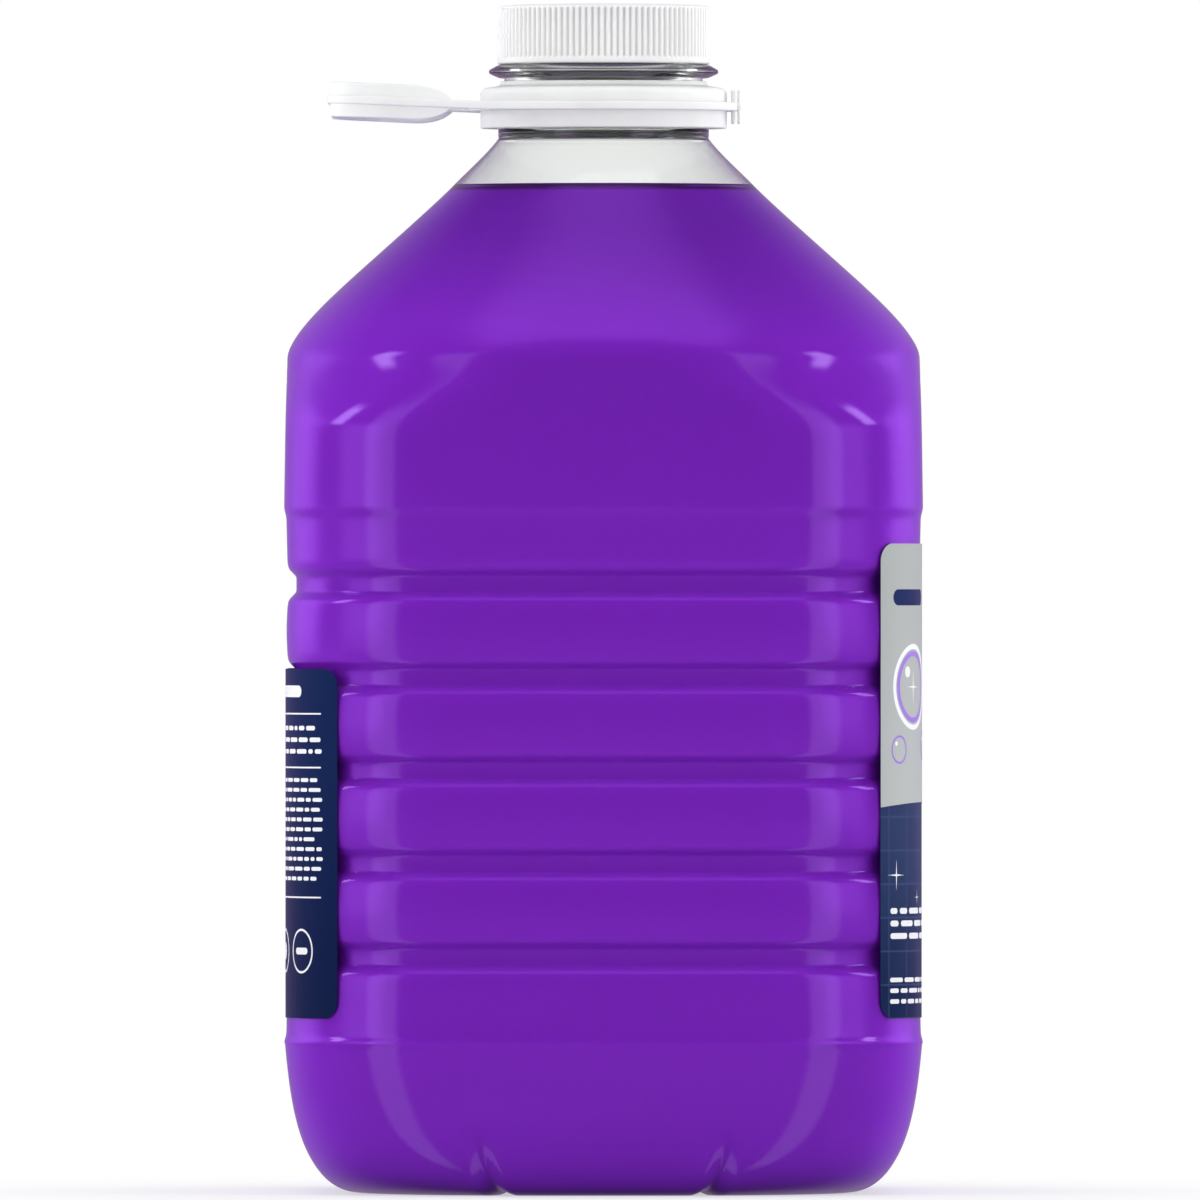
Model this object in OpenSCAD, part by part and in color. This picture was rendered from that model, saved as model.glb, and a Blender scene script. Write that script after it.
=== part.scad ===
// A square blown PET bottle of all-purpose cleaner: the bottle, the liquid in it, a ribbed screw cap
// with its liner, a carry handle snapped round the neck, and a label on the front and on the back.
// +X faces the front label, +Z is up, and the origin is the middle of the foot. Millimetres.

/* [Bottle body] */
// Width of the bottle over its widest band, front face to back face
body_w = 143; // [130:1:160]
// Depth of the bottle over its widest band, side face to side face
body_d = 143; // [130:1:160]
// Radius of the four upright corners
corner_r = 34; // [28:1:40]
// Thickness of the blown wall
wall = 0.5; // [0.4:0.1:0.8]
// Height of the heel below the recessed panel
heel_h = 35; // [30:1:45]
// Height of the plain band between the panel and the shoulder
band_h = 34.5; // [25:0.5:45]
// Corner radius at the top of that band, where the corners have widened to meet the shoulder
brow_r = 56; // [45:1:60]
// Height at the top of the band over which the corners widen
brow_h = 17; // [10:1:24]
// Height of the sloping shoulder
shoulder_h = 38.5; // [34:0.5:46]
// Height of the clear flare between the shoulder and the neck
flare_h = 11.4; // [9:0.1:15]
// Radius of the round section where the shoulder meets the flare
flare_r = 34.5; // [32:0.5:38]
// How far the shoulder's curve swells beyond that section on its way up
shoulder_swell = 18; // [12:0.5:24]

/* [Grip grooves] */
// Number of grooves round the panel
groove_count = 5; // [3:1:5]
// Distance from one groove to the next
groove_pitch = 20.8; // [18:0.1:21]
// Height of the lowest groove's middle above the floor of the panel
groove_first = 18.3; // [15:0.1:20]
// Depth of a groove
groove_depth = 1.9; // [1:0.1:2.5]
// Height of a groove at its mouth
groove_mouth = 7; // [5.5:0.1:8]
// Height of a groove's flat floor
groove_floor = 3.4; // [2:0.1:4]
// Depth of the panel below the plain bands
panel_recess = 0.5; // [0.4:0.05:1]
// How far the lands between the grooves bow outwards
land_bow = 0.35; // [0:0.05:0.4]

/* [Foot] */
// Half width of the foot where it meets the floor
foot_half = 54; // [50:1:56]
// Width of the flat ring that the bottle stands on
foot_ring = 4; // [3:0.5:6]
// Corner radius of the foot
foot_corner_r = 40; // [34:1:44]
// Height of the pushed-up middle of the base
push_up = 10; // [6:0.5:14]
// Depth of the radial grooves that stiffen the base
spoke_depth = 1.3; // [0.8:0.1:1.6]
// Height to which those grooves climb the heel
spoke_h = 15.5; // [12:0.5:20]

/* [Neck] */
// Outer radius of the neck where the handle sits
neck_r = 22.3; // [22:0.1:23]
// Radius of the ledge that the handle rests on
ledge_r = 23.7; // [23.5:0.1:24.6]
// Height of that ledge
ledge_h = 2.1; // [1.6:0.1:3]
// Clear length of neck between the ledge and the support flange
seat_h = 11.4; // [11.2:0.1:13]
// Radius of the support flange
flange_r = 25.8; // [25:0.1:27]
// Height of the support flange
flange_h = 3; // [2.4:0.1:3.6]
// Height of the threaded finish above the support flange
finish_h = 10.9; // [10.6:0.1:12]
// Radius of the finish between its threads
finish_r = 20.9; // [20.6:0.1:21.1]
// Radius of the neck's bore
bore_r = 19.2; // [18:0.1:19.6]

/* [Thread] */
// Rise of the thread in one turn
thread_lead = 4.23; // [4:0.01:4.5]
// Number of turns of thread
thread_turns = 1.25; // [1:0.05:1.3]
// Height of a thread ridge above the wall that carries it
thread_depth = 1; // [0.8:0.05:1.1]
// Height of a thread ridge where it meets that wall
thread_base = 2; // [1.6:0.1:2.2]
// Height of the lower end of the neck's thread above the support flange
thread_rise = 2.2; // [1.8:0.1:2.5]

/* [Cap] */
// Outer radius of the cap over its ribs
cap_r = 24; // [23.9:0.1:25]
// Height of the cap
cap_h = 13.4; // [12.9:0.1:13.4]
// Number of ribs round the cap
cap_ribs = 105; // [60:1:120]
// Depth of the ribs
rib_depth = 0.45; // [0.3:0.05:0.6]
// Thickness of the cap's top
cap_top = 1.5; // [1.2:0.1:2]
// Height of the plain band below the ribs
cap_foot = 1.3; // [0.8:0.1:1.6]
// Running clearance between the cap's inner wall and the neck's thread
cap_clear = 0.35; // [0.3:0.05:0.5]
// Thickness of the foam liner
liner_t = 1.1; // [0.8:0.1:1.4]

/* [Carry handle] */
// Clearance between the handle's collar and the neck
collar_clear = 0.3; // [0.25:0.05:0.5]
// Outer radius of the collar
collar_r = 27.7; // [27:0.1:29]
// Height of the collar
collar_h = 10.6; // [10:0.1:11]
// Wall of the collar
collar_wall = 1.5; // [1.2:0.1:1.8]
// Radius of the thin flange round the collar
rim_r = 30.3; // [29.5:0.1:31]
// Thickness of that flange and of the loop's plate
plate_t = 1.9; // [1.6:0.1:2.4]
// Height of the plate's underside above the foot of the collar
plate_rise = 3.9; // [3:0.1:5]
// Distance from the neck's axis to the far end of the loop
loop_reach = 62; // [58:1:70]
// Width of the arms of the loop
arm_w = 4.5; // [3.5:0.1:6]
// Width of the plate at the far end of the loop
grip_w = 6; // [5:0.1:8]
// Outer corner radius of the loop
loop_corner_r = 12; // [9:0.5:16]
// Thickness of the upright fin that stiffens the grip
fin_t = 1.8; // [1.4:0.1:2.4]
// Height of the fin
fin_h = 7.8; // [6:0.1:9]
// How far the fin runs back along the arms
fin_run = 28; // [24:0.5:30]
// Length over which the fin's ends round off into the arms
fin_ease = 9; // [6:0.5:11]
// Upward slope of the loop
loop_tilt = 2.5; // [0:0.5:5]

/* [Contents] */
// Depth of the liquid's level below the seat of the handle
fill_drop = 13.4; // [8:0.1:40]
// Gap between the liquid and the wall
liquid_gap = 0.1; // [0.05:0.05:0.2]

/* [Labels] */
// Thickness of a label's film
film_t = 0.15; // [0.1:0.05:0.2]
// Thickness of a layer of print
print_t = 0.08; // [0.05:0.01:0.1]
// Gap between a label and the lands that it is stuck on
label_gap = 0.05; // [0.03:0.01:0.1]
// Height of the front label
front_h = 106; // [90:1:110]
// Height of the back label
back_h = 78; // [60:1:100]
// Height of both labels' lower edge above the lower edge of the panel
label_rise = 4.6; // [3:0.1:8]
// Room between the front label's upper edge and the upper edge of the panel
label_head = 6.9; // [2:0.1:15]
// Angle that the front label wraps round each corner
front_wrap = 43.5; // [30:0.5:60]
// Angle that the back label wraps round each corner
back_wrap = 49; // [30:0.5:60]
// Corner radius of the labels
label_corner_r = 4; // [2:0.5:8]
// Height of the front label's lower field
field_h = 45; // [30:1:60]
// Height of the waves on that field's upper edge
field_wave = 3.2; // [0:0.2:5]

/* [Hidden] */

// Heights that stack up from the floor
panel_h = label_rise + front_h + label_head;
panel_z0 = heel_h;
panel_z1 = panel_z0 + panel_h;
band_z1 = panel_z1 + band_h;
shoulder_z1 = band_z1 + shoulder_h;
neck_z0 = shoulder_z1 + flare_h;
seat_z0 = neck_z0 + ledge_h;
fill_z = seat_z0 - fill_drop;
flange_z0 = seat_z0 + seat_h;
flange_z1 = flange_z0 + flange_h;
lip_z = flange_z1 + finish_h;
cap_z1 = lip_z + liner_t + cap_top;
cap_z0 = cap_z1 - cap_h;
label_z0 = panel_z0 + label_rise;

// Radii that follow from the neck
crest_r = finish_r + thread_depth;
cap_bore_r = crest_r + cap_clear;
neck_wall = neck_r - 1.8;
liner_r = cap_bore_r - 0.2;
collar_bore_r = neck_r + collar_clear;

// Overlaps that let two shapes fuse, and the fineness of the curves
bite = 0.6;
tiny = 0.01;
circle_fn = 96;
thread_steps = 36;
ease = 0.7;

// Directions of the columns of points round the bottle, for one quarter of a turn. The closest
// three lie on each radial groove of the base.
spoke_at = 22.5;
spoke_half = 2.4;
quarter = [0, spoke_at - spoke_half, spoke_at, spoke_at + spoke_half, 29, 34, 39.5,
           45, 50.5, 56, 61, 90 - spoke_at - spoke_half, 90 - spoke_at, 90 - spoke_at + spoke_half];
columns = [for (q = [0:3]) for (a = quarter) a + 90 * q];
n_col = len(columns);

function mix(a, b, t) = a + (b - a) * t;
function bezier(p, t) =
    pow(1 - t, 3) * p[0] + 3 * t * pow(1 - t, 2) * p[1] + 3 * t * t * (1 - t) * p[2] + pow(t, 3) * p[3];

// A row of the wall is [height, half width, half depth, corner radius, share of the radial groove].
function row(z, inset, r, spoke = 0) = [z, body_w / 2 - inset, body_d / 2 - inset, r, spoke];
panel_inset = panel_recess + land_bow;

// From the middle of the base out to the ring that it stands on
dome_rows = [for (s = [0.3, 0.62, 0.86])
    [push_up * (1 - pow(s, 2)), (foot_half - foot_ring) * s, (foot_half - foot_ring) * s,
     foot_corner_r * s, s > 0.5 ? s : 0]];
ring_rows = [for (h = [foot_half - foot_ring, foot_half]) [0, h, h, foot_corner_r * (h / foot_half), 1]];

// The heel swells from the foot to the lower edge of the panel.
heel_share = [0.14, 0.3, 0.48, 0.7];
heel_rows = [for (t = heel_share)
    let (z = bezier([0, 0, heel_h * 0.54, heel_h], t),
         w = bezier([foot_half, body_w / 2 - 4, body_w / 2 - 1.3, body_w / 2 - 0.1], t),
         d = bezier([foot_half, body_d / 2 - 4, body_d / 2 - 1.3, body_d / 2 - 0.1], t))
    [z, w, d, mix(foot_corner_r, corner_r, t), max(0, 1 - pow(z / spoke_h, 2))]];

function groove_z(i) = panel_z0 + groove_first + groove_pitch * i;
groove_rows = [for (i = [0:groove_count - 1]) each [
    row(groove_z(i) - groove_mouth / 2, panel_inset, corner_r),
    row(groove_z(i) - groove_floor / 2, panel_inset + groove_depth, corner_r - groove_depth),
    row(groove_z(i) + groove_floor / 2, panel_inset + groove_depth, corner_r - groove_depth),
    row(groove_z(i) + groove_mouth / 2, panel_inset, corner_r),
    if (i < groove_count - 1) row(groove_z(i) + groove_pitch / 2, panel_recess, corner_r)]];
panel_rows = concat(
    [row(panel_z0 - ease, 0, corner_r), row(panel_z0 + ease, panel_recess, corner_r)],
    groove_rows,
    [row(panel_z1 - ease, panel_recess, corner_r), row(panel_z1 + ease, 0, corner_r)]);

// Towards the top of the band the corners widen and the faces draw in a little. The widening runs on
// a short way up the shoulder, so that the corners slope in without a step.
brow_inset = 0.5;
brow_lead = 6;
brow_swell = 8;
brow_rows = [for (u = [0, 0.25, 0.5, 0.75]) let (inset = brow_inset * (1 + u) / 2)
    [band_z1 - brow_h * (1 - u), body_w / 2 - inset, body_d / 2 - inset,
     bezier([corner_r, corner_r, brow_r - brow_lead, brow_r], u), 0]];

// The shoulder draws the square in to a circle, and the flare carries it up to the neck.
shoulder_rows = [for (t = [0:7]) let (s = t / 8)
    [bezier([band_z1, band_z1 + shoulder_h * 0.2, shoulder_z1 - shoulder_h * 0.45, shoulder_z1], s),
     bezier([body_w / 2 - brow_inset, body_w / 2 - brow_inset, flare_r + shoulder_swell, flare_r], s),
     bezier([body_d / 2 - brow_inset, body_d / 2 - brow_inset, flare_r + shoulder_swell, flare_r], s),
     bezier([brow_r, brow_r + brow_swell, brow_r - brow_swell, flare_r], s), 0]];
throat_r = ledge_r - 0.15;
flare_rows = [for (t = [0:4]) let (s = t / 4,
    r = bezier([flare_r, flare_r - 3.6, throat_r + 2.8, throat_r], s))
    [mix(shoulder_z1, neck_z0, s), r, r, r, 0]];
root_row = [[neck_z0 + bite, throat_r, throat_r, throat_r, 0]];
rows = concat(dome_rows, ring_rows, heel_rows, panel_rows, brow_rows, shoulder_rows, flare_rows, root_row);

// Outward direction of the wall's profile at a row, as [out, up]
function lean(i) =
    let (a = rows[max(i - 1, 0)], b = rows[min(i + 1, len(rows) - 1)],
         run = b[1] - a[1], rise = b[0] - a[0], size = norm([run, rise]))
    [rise, -run] / size;

// Where a ray at an angle leaves a rectangle with rounded corners
function ray(angle, w, d, r) =
    let (c = abs(cos(angle)), s = abs(sin(angle)), cx = w - r, cy = d - r,
         on_x = w * s <= cy * c, on_y = d * c <= cx * s,
         along = c * cx + s * cy,
         reach = on_x ? w / c : on_y ? d / s
               : along + sqrt(max(0, along * along - cx * cx - cy * cy + r * r)))
    [reach * cos(angle), reach * sin(angle)];

function is_spoke(k) = abs(abs((columns[k] % 45) - spoke_at)) < tiny ? 1 : 0;

// A point of the wall, moved in by a depth and by the radial groove
function wall_point(i, k, depth) =
    let (w = rows[i], dir = lean(i), in = depth + w[4] * is_spoke(k) * spoke_depth,
         p = ray(columns[k], w[1] - in * dir[0], w[2] - in * dir[0],
                 max(1, min(w[3], w[1], w[2]) - in * dir[0] - tiny)))
    [p[0], p[1], w[0] - in * dir[1]];

function ring_points(i, depth) = [for (k = [0:n_col - 1]) wall_point(i, k, depth)];

// Two triangles for each cell between one ring of points and the next. The shell's inner face runs
// downwards, so the liquid's cells take the other diagonal to match it.
function skin(ring_count, up = true) = [for (i = [0:ring_count - 2]) for (k = [0:n_col - 1])
    let (a = i * n_col, b = a + n_col, m = (k + 1) % n_col)
    each up ? [[a + k, b + k, b + m], [a + k, b + m, a + m]]
            : [[a + k, b + k, a + m], [b + k, b + m, a + m]]];

// The blown shell is one surface: up the outside, over the top of the neck's root and down the inside.
module blown_shell() {
    last = len(rows) - 1;
    n_ring = 2 * len(rows);
    points = concat(
        [for (i = [0:last]) each ring_points(i, 0)],
        [for (i = [last:-1:0]) each ring_points(i, wall)],
        [[0, 0, push_up], [0, 0, push_up + wall]]);
    under = n_ring * n_col;
    over = under + 1;
    inner = (n_ring - 1) * n_col;
    polyhedron(points = points, convexity = 8, faces = concat(
        skin(n_ring),
        [for (k = [0:n_col - 1]) [under, k, (k + 1) % n_col]],
        [for (k = [0:n_col - 1]) [over, inner + (k + 1) % n_col, inner + k]]));
}

// A ridge that climbs round a wall: dir is 1 on the outside of a wall and -1 on the inside.
module thread(wall_r, dir, z0) {
    steps = round(thread_steps * thread_turns);
    root = wall_r - dir * bite / 2;
    tip = wall_r + dir * thread_depth;
    points = [for (i = [0:steps])
        let (a = 360 * i / thread_steps, z = z0 + thread_lead * i / thread_steps,
             fade = max(0.15, min(1, i / 5, (steps - i) / 5)), top = mix(root, tip, fade),
             b = thread_base / 2, c = thread_base / 4)
        each [for (p = [[root, -b], [top, -c], [top, c], [root, b]])
            [p[0] * cos(a), p[0] * sin(a), z + p[1]]]];
    sides = [for (i = [0:steps - 1]) for (k = [0:3])
        let (a = 4 * i, b = a + 4, m = (k + 1) % 4)
        each [[a + k, b + m, b + k], [a + k, a + m, b + m]]];
    turned = concat(sides, [[0, 2, 1], [0, 3, 2]],
        [[4 * steps, 4 * steps + 1, 4 * steps + 2], [4 * steps, 4 * steps + 2, 4 * steps + 3]]);
    polyhedron(points = points, convexity = 6,
        faces = dir > 0 ? turned : [for (f = turned) [f[2], f[1], f[0]]]);
}

// Both threads follow the same helix, half a lead apart, so that they slide past each other.
neck_thread_z0 = flange_z1 + thread_rise;
cap_thread_z0 = neck_thread_z0 + thread_lead / 2;

module bottle() color("gainsboro", 0.4) union() {
    blown_shell();
    rotate_extrude($fn = circle_fn) polygon([
        [neck_wall, neck_z0 + 1.6], [throat_r - 1.4, neck_z0], [ledge_r, neck_z0],
        [ledge_r, seat_z0], [neck_r, seat_z0], [neck_r, flange_z0],
        [neck_r + 1.2, flange_z0], [flange_r, flange_z0 + flange_h * 0.34],
        [flange_r, flange_z0 + flange_h * 0.6], [neck_r + 1.3, flange_z1],
        [finish_r + 0.5, flange_z1], [finish_r, flange_z1 + 0.6],
        [finish_r, lip_z - 0.4], [finish_r - 0.4, lip_z], [bore_r + 0.3, lip_z],
        [bore_r, lip_z - 0.3], [bore_r, flange_z0], [neck_wall, flange_z0 - 2]]);
    thread(finish_r, 1, neck_thread_z0);
}

// The liquid fills the shell, row by row, up to its level.
module cleaner_liquid() color([0.45, 0.16, 0.70]) {
    depth = wall + liquid_gap;
    under = [for (i = [0:len(rows) - 1]) if (wall_point(i, 0, depth)[2] < fill_z - 0.4) i];
    top_i = len(under) - 1;
    above = ring_points(top_i + 1, depth);
    below = ring_points(top_i, depth);
    surface = [for (k = [0:n_col - 1])
        let (t = (fill_z - below[k][2]) / (above[k][2] - below[k][2]))
        [mix(below[k][0], above[k][0], t), mix(below[k][1], above[k][1], t), fill_z]];
    last = (top_i + 1) * n_col;
    middle = (top_i + 2) * n_col;
    polyhedron(convexity = 6,
        points = concat([for (i = [0:top_i]) each ring_points(i, depth)], surface,
            [[0, 0, push_up + depth], [0, 0, fill_z]]),
        faces = concat(skin(top_i + 2, false),
            [for (k = [0:n_col - 1]) [middle, k, (k + 1) % n_col]],
            [for (k = [0:n_col - 1]) [middle + 1, last + (k + 1) % n_col, last + k]]));
}

// Outline of the ribbed skirt: each rib has a flat crest and sloping flanks.
module rib_outline() {
    pitch = 360 / cap_ribs;
    root = cap_r - rib_depth;
    polygon([for (i = [0:cap_ribs - 1])
        each [for (p = [[-0.36, root], [-0.2, cap_r], [0.2, cap_r], [0.36, root]])
            let (a = (i + p[0]) * pitch) [p[1] * cos(a), p[1] * sin(a)]]]);
}

module screw_cap() color("white") union() {
    difference() {
        intersection() {
            union() {
                translate([0, 0, cap_z0 + cap_foot]) linear_extrude(cap_h - cap_foot) rib_outline();
                translate([0, 0, cap_z0]) cylinder(r = cap_r - 0.05, h = cap_foot, $fn = circle_fn);
            }
            translate([0, 0, cap_z0]) rotate_extrude($fn = circle_fn) polygon([
                [0, 0], [cap_r + 1, 0], [cap_r + 1, cap_h - 1.6], [cap_r - 0.25, cap_h - 0.6],
                [cap_r - 1.5, cap_h - 0.25], [cap_r - 5.5, cap_h], [0, cap_h]]);
        }
        translate([0, 0, cap_z0 - 1]) cylinder(r = cap_bore_r, h = cap_h - cap_top + 1, $fn = circle_fn);
    }
    thread(cap_bore_r, -1, cap_thread_z0);
}

module cap_liner() color("ghostwhite")
    translate([0, 0, lip_z]) cylinder(r = liner_r, h = liner_t, $fn = circle_fn);

// The loop's arms leave the rim level, a little slimmer than the loop, and slope up from the bend.
plate_z0 = seat_z0 + plate_rise;
loop_half = rim_r - 0.4;
bend_x = -rim_r + 3;
stub_inset = 0.1;

// Half of the loop's outline, as a rectangle with two round corners at its far end
module loop_outline(inset_end, inset_side) {
    x0 = -loop_reach + inset_end;
    half = loop_half - inset_side;
    r = max(2, loop_corner_r - max(inset_end, inset_side));
    translate([x0 + r, -half]) square([-x0 - r, 2 * half]);
    translate([x0, r - half]) square([r + 1, 2 * (half - r)]);
    for (side = [-1, 1]) translate([x0 + r, side * (half - r)]) circle(r = r, $fn = circle_fn);
}

module loop_ring(out_end, out_side, in_end, in_side) difference() {
    loop_outline(out_end, out_side);
    loop_outline(in_end, in_side);
    translate([bend_x, -loop_half - 1]) square([loop_reach, 2 * loop_half + 2]);
}

// The fin's outline from the side: full height along the grip, drawn in to the plate along the arms
module fin_outline() {
    x0 = -loop_reach;
    top = fin_h / 2;
    back = [for (s = [0:8]) let (a = 90 * s / 8)
        [x0 + fin_run - fin_ease * (1 - sin(a)), top * cos(a)]];
    polygon(concat([[x0 + 0.2, top - 1], [x0 + 2, top - 0.2], [x0 + 5, top]], back,
        [for (i = [7:-1:0]) [back[i][0], -back[i][1]]], [[x0 + 5, -top], [x0 + 0.2, -top + 0.6]]));
}

module loop() translate([bend_x, 0, plate_z0 + plate_t / 2]) rotate([0, loop_tilt, 0])
    translate([-bend_x, 0, 0]) {
        fin_in = 0.7;
        translate([0, 0, -plate_t / 2]) linear_extrude(plate_t) loop_ring(0, 0, grip_w, arm_w);
        intersection() {
            translate([0, 0, -fin_h]) linear_extrude(2 * fin_h)
                loop_ring(fin_in, fin_in, fin_in + fin_t, fin_in + fin_t);
            rotate([90, 0, 0]) translate([0, 0, -2 * loop_half])
                linear_extrude(4 * loop_half) fin_outline();
        }
    }

module arm_stub() {
    width = arm_w - 2 * stub_inset;
    height = plate_t - 2 * stub_inset;
    translate([0, -width / 2, -height / 2]) cube([-bend_x + bite, width, height]);
}

// Two small upright ribs on a lug at the front of the collar
module front_ribs() {
    rib_w = 7;
    rib_h = 7.5;
    rib_z0 = plate_z0 + plate_t / 2 - rib_h / 2;
    lug_reach = 3.2;
    translate([collar_r - bite, -rib_w / 2, plate_z0 + stub_inset])
        cube([lug_reach + bite, rib_w, plate_t - 2 * stub_inset]);
    for (rib = [[1, 0.9], [2.45, 0.6]])
        translate([collar_r + rib[0], -rib_w / 2 + stub_inset, rib_z0])
            cube([rib[1], rib_w - 2 * stub_inset, rib_h]);
}

module carry_handle() color("white") difference() {
    foot = seat_z0 + 0.05;
    union() {
        rotate_extrude($fn = circle_fn) polygon([
            [collar_bore_r - 1, foot], [collar_r, foot], [collar_r, foot + collar_h - 2.4],
            [collar_r - 0.8, foot + collar_h - 1.5], [collar_bore_r + 0.8, foot + collar_h - 1],
            [collar_bore_r + 0.6, foot + collar_h], [collar_bore_r - 1, foot + collar_h]]);
        translate([0, 0, plate_z0]) cylinder(r = rim_r, h = plate_t, $fn = circle_fn);
        for (side = [-1, 1])
            translate([bend_x - bite, side * (loop_half - arm_w / 2), plate_z0 + plate_t / 2]) arm_stub();
        loop();
        front_ribs();
    }
    translate([0, 0, foot - 1]) cylinder(r = collar_bore_r, h = collar_h + 2, $fn = circle_fn);
    translate([0, 0, foot - 1]) difference() {
        cylinder(r = collar_r - collar_wall, h = collar_h - 2.2, $fn = circle_fn);
        translate([0, 0, -1]) cylinder(r = collar_bore_r + 1.2, h = collar_h + 2, $fn = circle_fn);
        for (a = [0:30:330]) rotate(a + 15) translate([0, -0.5, 0]) cube([collar_r, 1, collar_h]);
    }
}

// Section of a label: a strip that follows the panel over the front face and round its corners
module label_strip(out, thick, wrap) {
    w = body_w / 2 - panel_recess + out;
    d = body_d / 2 - panel_recess + out;
    r = corner_r + out;
    module section(grow) {
        translate([0, -(d - r)]) square([w + grow, 2 * (d - r)]);
        for (side = [-1, 1]) translate([w - r, side * (d - r)]) circle(r = r + grow, $fn = circle_fn);
    }
    intersection() {
        difference() {
            section(thick);
            section(0);
        }
        translate([w - r + r * cos(wrap), -body_d]) square([body_w, 2 * body_d]);
    }
}

// A label's outline from the front, with round corners
module label_outline(height, wrap) {
    half = body_d / 2 - panel_recess - corner_r + (corner_r + label_gap) * sin(wrap) + 0.05;
    r = label_corner_r;
    translate([-half + r, 0]) square([2 * (half - r), height]);
    translate([-half, r]) square([2 * half, height - 2 * r]);
    for (y = [-1, 1]) for (z = [r, height - r]) translate([y * (half - r), z]) circle(r = r, $fn = circle_fn);
}

module stood_up() rotate([90, 0, 90]) linear_extrude(body_w) children();

module label(height, wrap) intersection() {
    translate([0, 0, label_z0 - 1]) linear_extrude(height + 2) label_strip(label_gap, film_t, wrap);
    translate([0, 0, label_z0]) stood_up() label_outline(height, wrap);
}

module front_label() color("midnightblue") label(front_h, front_wrap);

module back_label() color("midnightblue") rotate(180) label(back_h, back_wrap);

// The pale upper field of the front label, with a wavy lower edge
module front_label_field() color([0.64, 0.66, 0.66]) intersection() {
    translate([0, 0, label_z0]) linear_extrude(front_h) label_strip(label_gap + film_t, print_t, front_wrap);
    translate([0, 0, label_z0]) stood_up() intersection() {
        label_outline(front_h, front_wrap);
        polygon(concat([for (s = [0:24]) let (t = s / 24)
            [body_d * (t - 0.5), field_h + field_wave * sin(360 * t + 20)]],
            [[body_d / 2, front_h + 1], [-body_d / 2, front_h + 1]]));
    }
}

bottle();
cleaner_liquid();
screw_cap();
cap_liner();
carry_handle();
front_label();
front_label_field();
back_label();
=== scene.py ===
"""Dresses the square cleaner bottle: clear blown shell, purple contents, white cap and handle, film labels.

Lengths in the dataclasses are millimetres; meshes are metres. The frame gives every place and overall size.
"""

import logging
import math
from dataclasses import dataclass, field
from enum import Enum
from typing import Any, Callable, ClassVar, Optional, Sequence

import bpy
import numpy as np
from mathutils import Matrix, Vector


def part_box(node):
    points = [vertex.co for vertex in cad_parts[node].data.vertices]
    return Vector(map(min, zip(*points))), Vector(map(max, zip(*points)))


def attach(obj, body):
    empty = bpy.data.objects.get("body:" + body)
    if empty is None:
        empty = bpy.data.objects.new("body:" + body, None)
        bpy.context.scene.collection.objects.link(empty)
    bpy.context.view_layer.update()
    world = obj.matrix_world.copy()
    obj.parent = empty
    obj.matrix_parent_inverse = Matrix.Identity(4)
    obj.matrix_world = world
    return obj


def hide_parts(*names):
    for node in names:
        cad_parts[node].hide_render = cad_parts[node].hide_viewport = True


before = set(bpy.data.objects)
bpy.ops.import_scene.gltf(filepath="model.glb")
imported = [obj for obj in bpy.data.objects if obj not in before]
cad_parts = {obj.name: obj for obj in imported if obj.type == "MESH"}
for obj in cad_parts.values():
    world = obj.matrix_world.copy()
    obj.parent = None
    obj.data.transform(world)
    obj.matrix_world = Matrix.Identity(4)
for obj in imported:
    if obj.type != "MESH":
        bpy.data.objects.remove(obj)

MM = 0.001
TURN = 2 * math.pi
CUT_SHARE = 0.45         # the most of an edge that a rounded corner takes up
LOG = logging.getLogger("cleaner_bottle")


class Slot(Enum):
    """The record's material slots."""

    SHELL = "clear_plastic"
    LIQUID = "purple_liquid"
    CAP = "white_cap_plastic"
    LINER = "foam_liner"
    HANDLE = "white_handle_plastic"
    FILM = "label_film"
    PRINT = "label_print"


class Side(Enum):
    """Which face of the bottle a label is stuck on: the sign of its X."""

    FRONT = 1
    BACK = -1


# Meshes


@dataclass
class Patch:
    """A closed surface: points in millimetres and faces that index them."""

    points: np.ndarray
    quads: np.ndarray
    tris: np.ndarray

    def moved(self, change: Callable[[np.ndarray], np.ndarray]) -> "Patch":
        """Returns the patch with its points put through a function."""
        return Patch(change(self.points), self.quads, self.tris)


def grid_patch(
    grid: np.ndarray, wrap_rows: bool = False, poles: Optional[Sequence[np.ndarray]] = None
) -> Patch:
    """Makes faces between the rows of a grid whose columns run round and meet.

    Point (i, k) joins (i, k+1), (i+1, k+1) and (i+1, k), so rows that climb with columns that run
    counter-clockwise face outwards.

    Args:
        grid: Points, rows by columns by 3.
        wrap_rows: Whether the last row joins the first, as on a ring.
        poles: The first and last points that close the ends with fans, or None.

    Returns:
        The patch.
    """
    rows, cols = grid.shape[:2]
    index = np.arange(rows * cols).reshape(rows, cols)
    across = np.roll(index, -1, axis=1)
    upper = np.roll(index, -1, axis=0)
    upper_across = np.roll(across, -1, axis=0)
    keep = slice(None) if wrap_rows else slice(0, rows - 1)
    quads = np.stack([index, across, upper_across, upper], axis=-1)[keep].reshape(-1, 4)
    points = grid.reshape(-1, 3)
    tris = np.zeros((0, 3), int)
    if poles is not None:
        first, last = len(points), len(points) + 1
        points = np.vstack([points, np.asarray(poles, float)])
        tris = np.vstack([
            np.stack([np.full(cols, first), across[0], index[0]], axis=-1),
            np.stack([np.full(cols, last), index[-1], across[-1]], axis=-1),
        ])
    return Patch(points, quads, tris)


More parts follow.
